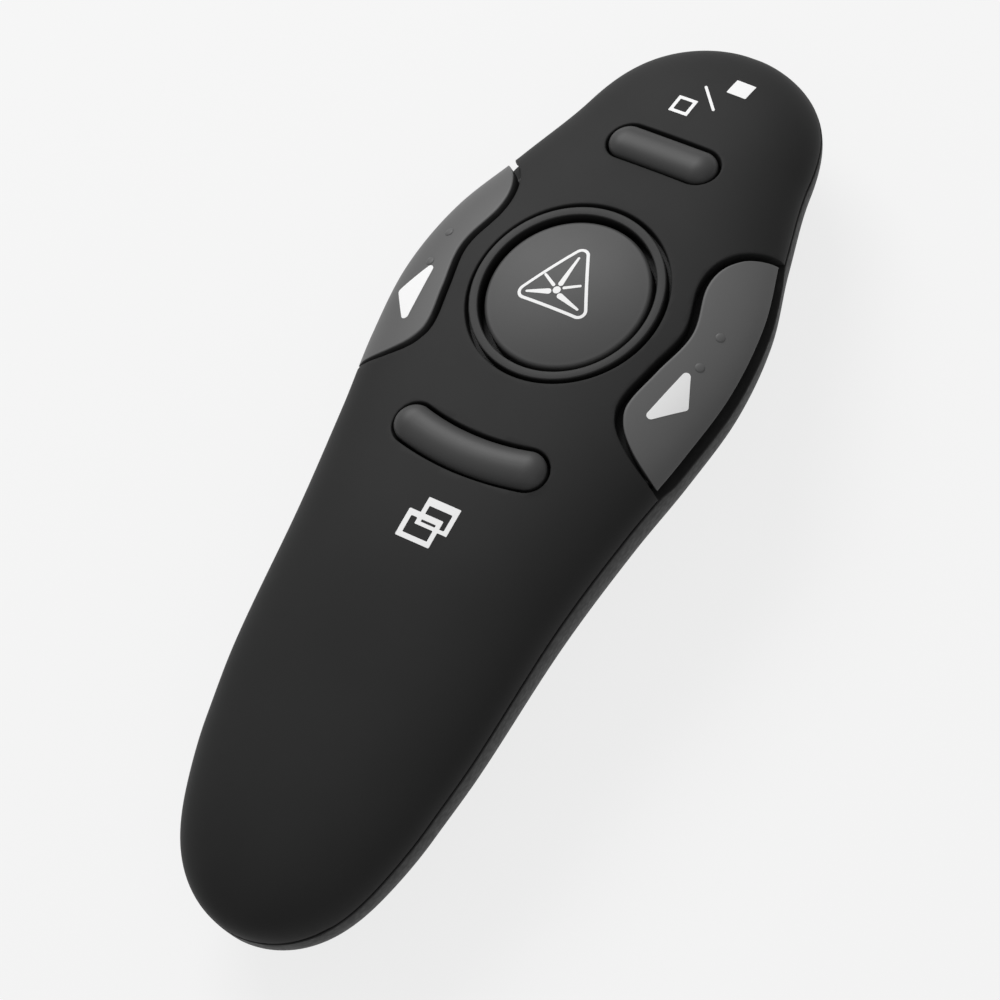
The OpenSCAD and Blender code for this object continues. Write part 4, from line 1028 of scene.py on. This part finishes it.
def makeWindowButton():
    bend = keys["windowBend"]
    reachAlong = math.asin(keys["windowReach"] / bend) * bend
    button, flangeTop = barButton(keys["windowStation"], reachAlong, cuts=24)
    for v in button.data.vertices:
        angle, reach = v.co.x / bend, bend - v.co.y
        v.co.x, v.co.y = reach * math.sin(angle), bend - reach * math.cos(angle)
    bevelEdges(button, bar["edge"], segments=2, angle=60)
    foot = flangeTop - bar["flangeThick"]
    arm = block((-bar["arm"], 0, foot), (bar["arm"], bar["armReach"], flangeTop), bar["armEdge"])
    button = joinPieces(button, arm)
    button.data.transform(crownFrame(keys["windowStation"]))
    s = keys["windowStation"] + bar["switchAhead"]
    button = joinPieces(button, stem(0, s, topLevel(0, s) + foot + bar["stemInto"]))
    place(button, "windowButton", "window_key", "key_dark", ["window_button"], None, wallShaded["key_dark"])


makeLaserButton()
makeBlankButton()
makeWindowButton()

sideKey = {"tip": 0.12, "edge": 0.22, "tailGap": 0.5, "tailRun": 6, "lowGap": 0.15, "thinning": 0.8,
           "stemX": 17.0, "stemStation": 80.0, "stemInto": 0.4,
           "dots": [(19.6, 87.3), (19.5, 82.7)], "dotRadius": 0.6, "dotRise": 0.15, "dotRoot": -0.3}
carrier = {"depth": 2.45, "thick": 0.6, "out": 1.2, "low": 1.9, "inset": 1.5,
           "turn": 0.72, "steepest": 0.96}


def keyGap(s):
    share = easeIn((s - wingStart) / sideKey["tailRun"])
    return sideKey["tailGap"] + (keys["wingGap"] - sideKey["tailGap"]) * share


# point beside the shell's edge, at the gap from it
def wingCorner(s, gap):
    slope = (curveAt(keys["wingEdge"], s + 0.05) - curveAt(keys["wingEdge"], s - 0.05)) / 0.1
    length = math.sqrt(1 + slope * slope)
    return curveAt(keys["wingEdge"], s) + gap / length, s - gap * slope / length


def wingLow(s):
    lift = keys["wingLift"] - sideKey["lowGap"]
    share = max(0.0, 1 - (lift / domeHeight(s)) ** body["upPower"])
    return halfWidth(s) * share ** (1 / body["acrossPower"])


# station of the shell's edge, between a and b, where the side key has its narrow end
def wingTip(a, b):
    for _ in range(20):
        m = (a + b) / 2
        x, s = wingCorner(m, keyGap(m))
        a, b = (a, m) if wingLow(s) - x > sideKey["tip"] else (m, b)
    return b


# outer skin of the key with its edges rounded over, and its underside, thinner towards the tips
def wingLayers(side):
    rear, front = wingTip(wingStart - 1, wingStart + 6), wingTip(wingEnd + 1, wingEnd - 6)
    edgeRadius = sideKey["edge"]

    def layer(u, t, isInner):
        edge = rear + (front - rear) * (1 - math.cos(math.pi * u)) / 2
        x, s = wingCorner(edge, keyGap(edge))
        w = halfWidth(s)
        start, end = math.asin(x / w), math.asin(wingLow(s) / w)
        span = math.hypot(wingLow(s) - x, topLevel(x, s) - topLevel(wingLow(s), s))
        t = (1 - math.cos(math.pi * t)) / 2
        fromEdge = min(t, 1 - t) * span + 0.01
        radius = min(edgeRadius, span / 3)
        depth = min(keys["wingThick"], sideKey["thinning"] * span)
        if not isInner:
            depth = radius - math.sqrt(max(0.0, radius ** 2 - max(0.0, radius - fromEdge) ** 2))
        point = belowTop(w * math.sin(start + (end - start) * t), s, depth)
        return Vector((side * point.x, point.y, point.z))
    return lambda u, t: layer(u, t, False), lambda u, t: layer(u, t, True)


# pan under the key: it reaches in under the shell, and turns down behind the key's lower edge
def carrierLayer(side, inset):
    turn = carrier["turn"]

    def layer(u, t):
        edge = wingStart + carrier["inset"] + (wingEnd - wingStart - 2 * carrier["inset"]) * u
        x, s = wingCorner(edge, -carrier["out"])
        w = halfWidth(s, inset)
        start = math.asin(min(carrier["steepest"], x / w))
        angle = start + (math.pi / 2 - start) * min(1, t / turn)
        z = seamLevel(s) + domeHeight(s, inset) * domeShare(math.sin(angle))
        if t > turn:
            z -= carrier["low"] * (t - turn) / (1 - turn)
        return Vector((side * w * math.sin(angle), s, z))
    return layer


def wingDot(side, x, s):
    cap = [(sideKey["dotRadius"] * math.cos(a), sideKey["dotRise"] * math.sin(a))
           for a in (math.pi / 2 * i / 6 for i in range(6))]
    root = [(sideKey["dotRadius"], sideKey["dotRoot"])]
    dot = turnedPiece(root + cap + [(0.02, sideKey["dotRise"])], segments=32, capped=True)
    outside = (belowTop(x, s, -1) - belowTop(x, s, 0)).normalized()
    outside.x *= side
    turn = Vector((0, 0, 1)).rotation_difference(outside).to_matrix().to_4x4()
    dot.data.transform(Matrix.Translation((side * x, s, topLevel(x, s))) @ turn)
    return dot


def makeSideKey(side, name, bodyName, cadName):
    key = slab(48, 130, *wingLayers(side))
    x, s = sideKey["stemX"], sideKey["stemStation"]
    post = stem(side * x, s, topLevel(x, s) - keys["wingThick"] + sideKey["stemInto"])
    key = joinPieces(key, post, *[wingDot(side, *spot) for spot in sideKey["dots"]])
    # painted shade: the key goes near-black down its edges, in the gap beside the shell
    shadeWalls(key, skinDepth)
    place(key, name, bodyName, "key_grey", [cadName], None, wallShaded["key_grey"])
    depth = carrier["depth"]
    pan = slab(30, 90, carrierLayer(side, depth), carrierLayer(side, depth + carrier["thick"]))
    # the pan's near-black switch finish is painted shade for the gap beside the key
    place(pan, name + "Carrier", bodyName, "switch_black")


makeSideKey(1, "pageForwardKey", "forward_key", "page_forward_key")
makeSideKey(-1, "pageBackKey", "back_key", "page_back_key")


# distance to a printed stroke from a to b, which may taper
def line(a, b, half, endHalf=None):
    endHalf = half if endHalf is None else endHalf

    def distance(x, y):
        dx, dy = b[0] - a[0], b[1] - a[1]
        t = max(0, min(1, ((x - a[0]) * dx + (y - a[1]) * dy) / (dx * dx + dy * dy)))
        return math.hypot(x - a[0] - t * dx, y - a[1] - t * dy) - half - (endHalf - half) * t
    return distance


def box(x0, x1, y0, y1, corner=0.05):
    def distance(x, y):
        qx = abs(x - (x0 + x1) / 2) - (x1 - x0) / 2 + corner
        qy = abs(y - (y0 + y1) / 2) - (y1 - y0) / 2 + corner
        return math.hypot(max(qx, 0), max(qy, 0)) + min(max(qx, qy), 0) - corner
    return distance


# distance to a filled shape with round corners about the given points
def patch(corners, corner):
    def distance(x, y):
        inside, best = True, 1e9
        for a, b in zip(corners, corners[1:] + corners[:1]):
            dx, dy = b[0] - a[0], b[1] - a[1]
            inside = inside and dx * (y - a[1]) - dy * (x - a[0]) > 0
            best = min(best, line(a, b, 0)(x, y))
        return (-best if inside else best) - corner
    return distance


def frameOf(outer, inner):
    return lambda x, y: max(outer(x, y), -inner(x, y))


def dotAt(x0, y0, r):
    return lambda x, y: math.hypot(x - x0, y - y0) - r


film = {"thick": 0.06, "lift": 0.03}


# ink on a skin wherever one of the inked shapes is, within the corners low and high
def makeMark(name, bodyName, low, high, skin, inked, local=None, cell=0.11, mirrored=False):
    columns, rows = (math.ceil((b - a) / cell) for a, b in zip(low, high))

    def surface(u, v):
        return skin(low[0] + (high[0] - low[0]) * (v + 1) / 2, low[1] + (high[1] - low[1]) * u)

    def outside(p):
        return -min(shape(-p.x if mirrored else p.x, p.y) for shape in inked)
    mark = sheet(columns, rows, surface, [outside], film["thick"], 0, merge=0.02)
    place(mark, name, bodyName, "tongue_white", (), local, ink)


def onTop(x, s):
    return belowTop(x, s, -film["lift"])


def onLaserButton(x, y):
    return Vector((x, y, laserDome(math.hypot(x, y)) + film["lift"]))


makeMark("screenOnMark", "case", (-3.6, 112.9), (-0.1, 116.5), onTop,
         [frameOf(box(-3.2, -0.5, 113.35, 116.05), box(-2.74, -0.96, 113.81, 115.59))])
makeMark("screenSlash", "case", (-1.6, 115.0), (2.5, 119.2), onTop,
         [line((-1.05, 118.6), (1.95, 115.6), 0.18)])
makeMark("screenOffMark", "case", (1.3, 118.5), (4.8, 121.8), onTop, [box(1.7, 4.4, 118.9, 121.35)])
makeMark("windowMark", "case", (-2.8, 48.0), (4.2, 54.6), onTop, [
    frameOf(box(-0.82, 3.74, 50.55, 54.2), box(-0.2, 3.1, 51.02, 53.2)),
    frameOf(box(-2.38, 2.45, 48.44, 52.1), box(-1.7, 1.82, 49.1, 51.34)),
])

laserMark = {"x": -0.9, "corners": [(-3.7, -1.92), (3.88, -1.9), (0.05, 4.95)],
             "round": 0.88, "line": 0.2}
triangle = patch([(x + laserMark["x"], y) for x, y in laserMark["corners"]], 0)
rays = [((-0.1, 0.55), (-0.02, 4.6), 0.34, 0.15), ((0.68, -1.02), (3.65, -1.8), 0.38, 0.15),
        ((-1.02, -0.95), (-3.65, -1.88), 0.38, 0.15), ((0.58, 0.16), (2.3, 1.18), 0.2, 0.17),
        ((-0.88, 0.07), (-2.62, 1.0), 0.22, 0.17)]
burst = [line((a[0] + laserMark["x"], a[1]), (b[0] + laserMark["x"], b[1]), half, tip)
         for a, b, half, tip in rays]
makeMark("laserMark", "laser_key", (-6.0, -3.4), (4.4, 6.5), onLaserButton, [
    lambda x, y: abs(triangle(x, y) - laserMark["round"]) - laserMark["line"],
    dotAt(laserMark["x"] - 0.12, -0.42, 0.5),
] + burst, crownFrame(keys["laserStation"]), cell=0.09)

makeMark("forwardArrow", "forward_key", (16.6, 73.6), (21.3, 81.9), onTop,
         [patch([(17.55, 74.65), (20.25, 77.5), (18.75, 80.9)], 0.5)])
makeMark("backArrow", "back_key", (-22.0, 73.6), (-17.0, 82.6), onTop,
         [patch([(18.15, 74.8), (20.95, 77.9), (18.8, 81.65)], 0.5)], mirrored=True)


def makeFloor():
    ground = {"size": 4, "paper": 0.62, "rough": 0.8, "glowShare": 0.8}
    deselectAll()
    bpy.ops.mesh.primitive_plane_add(size=ground["size"], location=(0, 0, 0))
    floor = bpy.context.object
    floor.name = "floor"
    work = NodeWork(bpy.data.materials.new("floorWhite"))
    seen, glossy, through = (work.node("ShaderNodeLightPath", output=name)
                             for name in ("Is Camera Ray", "Is Glossy Ray", "Is Transmission Ray"))
    paper = work.node("ShaderNodeBsdfPrincipled", None,
                      {"Base Color": grey(ground["paper"]), "Roughness": ground["rough"]})
    glow = work.node("ShaderNodeEmission", None, {"Color": grey(1.0), "Strength": 1.0})
    share = (seen + glossy + through) * ground["glowShare"]
    both = work.node("ShaderNodeMixShader", None, {0: share, 1: paper, 2: glow})
    work.node("ShaderNodeOutputMaterial", None, {"Surface": both})
    floor.data.materials.append(work.owner)


def makeSky():
    level = {"light": 0.32, "moreWhenSeen": 0.68}
    sky = bpy.data.worlds.new("studio")
    bpy.context.scene.world = sky
    work = NodeWork(sky)
    seen = work.node("ShaderNodeLightPath", output="Is Camera Ray")
    strength = seen * level["moreWhenSeen"] + level["light"]
    light = work.node("ShaderNodeBackground", None, {"Color": grey(1.0), "Strength": strength})
    work.node("ShaderNodeOutputWorld", None, {"Surface": light})


def addLamp(name, spot, size, watts):
    data = bpy.data.lights.new(name, "AREA")
    data.shape = "RECTANGLE"
    data.size, data.size_y = size
    data.energy = watts
    lamp = bpy.data.objects.new(name, data)
    bpy.context.scene.collection.objects.link(lamp)
    lamp.location = spot
    lamp.rotation_euler = (-Vector(spot)).to_track_quat("-Z", "Y").to_euler()


def makeCamera():
    view = {"azimuth": 59.38, "elevation": 58.16, "roll": -32.13, "distance": 0.43881,
            "focal": 3653.0, "frame": 1000.0, "centreX": 498.75, "centreY": 478.5,
            "sensor": 36.0, "station": 63.0, "height": 13.0}
    az, el, roll = (math.radians(view[k]) for k in ("azimuth", "elevation", "roll"))
    back = Vector((math.cos(el) * math.sin(az), -math.cos(el) * math.cos(az), math.sin(el)))
    level = (-back).cross(Vector((0, 0, 1))).normalized()
    upward = level.cross(-back)
    right = math.cos(roll) * level + math.sin(roll) * upward
    up = -math.sin(roll) * level + math.cos(roll) * upward
    lens = bpy.data.cameras.new("camera")
    camera = bpy.data.objects.new("camera", lens)
    bpy.context.scene.collection.objects.link(camera)
    target = Vector((0, view["station"] - middle, view["height"])) * mm
    camera.matrix_world = (Matrix.Translation(target + back * view["distance"])
                           @ Matrix((right, up, back)).transposed().to_4x4())
    lens.sensor_width = view["sensor"]
    lens.lens = view["sensor"] * view["focal"] / view["frame"]
    lens.shift_x = (view["frame"] / 2 - view["centreX"]) / view["frame"]
    lens.shift_y = (view["centreY"] - view["frame"] / 2) / view["frame"]
    lens.clip_start = 0.01
    bpy.context.scene.camera = camera


lamps = {
    "windowLamp": {"spot": (-0.42, 0.42, 0.55), "size": (0.5, 0.4), "watts": 4.9},
    "fillLamp": {"spot": (0.5, -0.35, 0.6), "size": (0.6, 0.6), "watts": 0.7},
}
makeFloor()
makeSky()
for lampName, lamp in lamps.items():
    addLamp(lampName, **lamp)
makeCamera()
bpy.context.scene.view_settings.view_transform = "Standard"
print("floor, lights and camera ready")
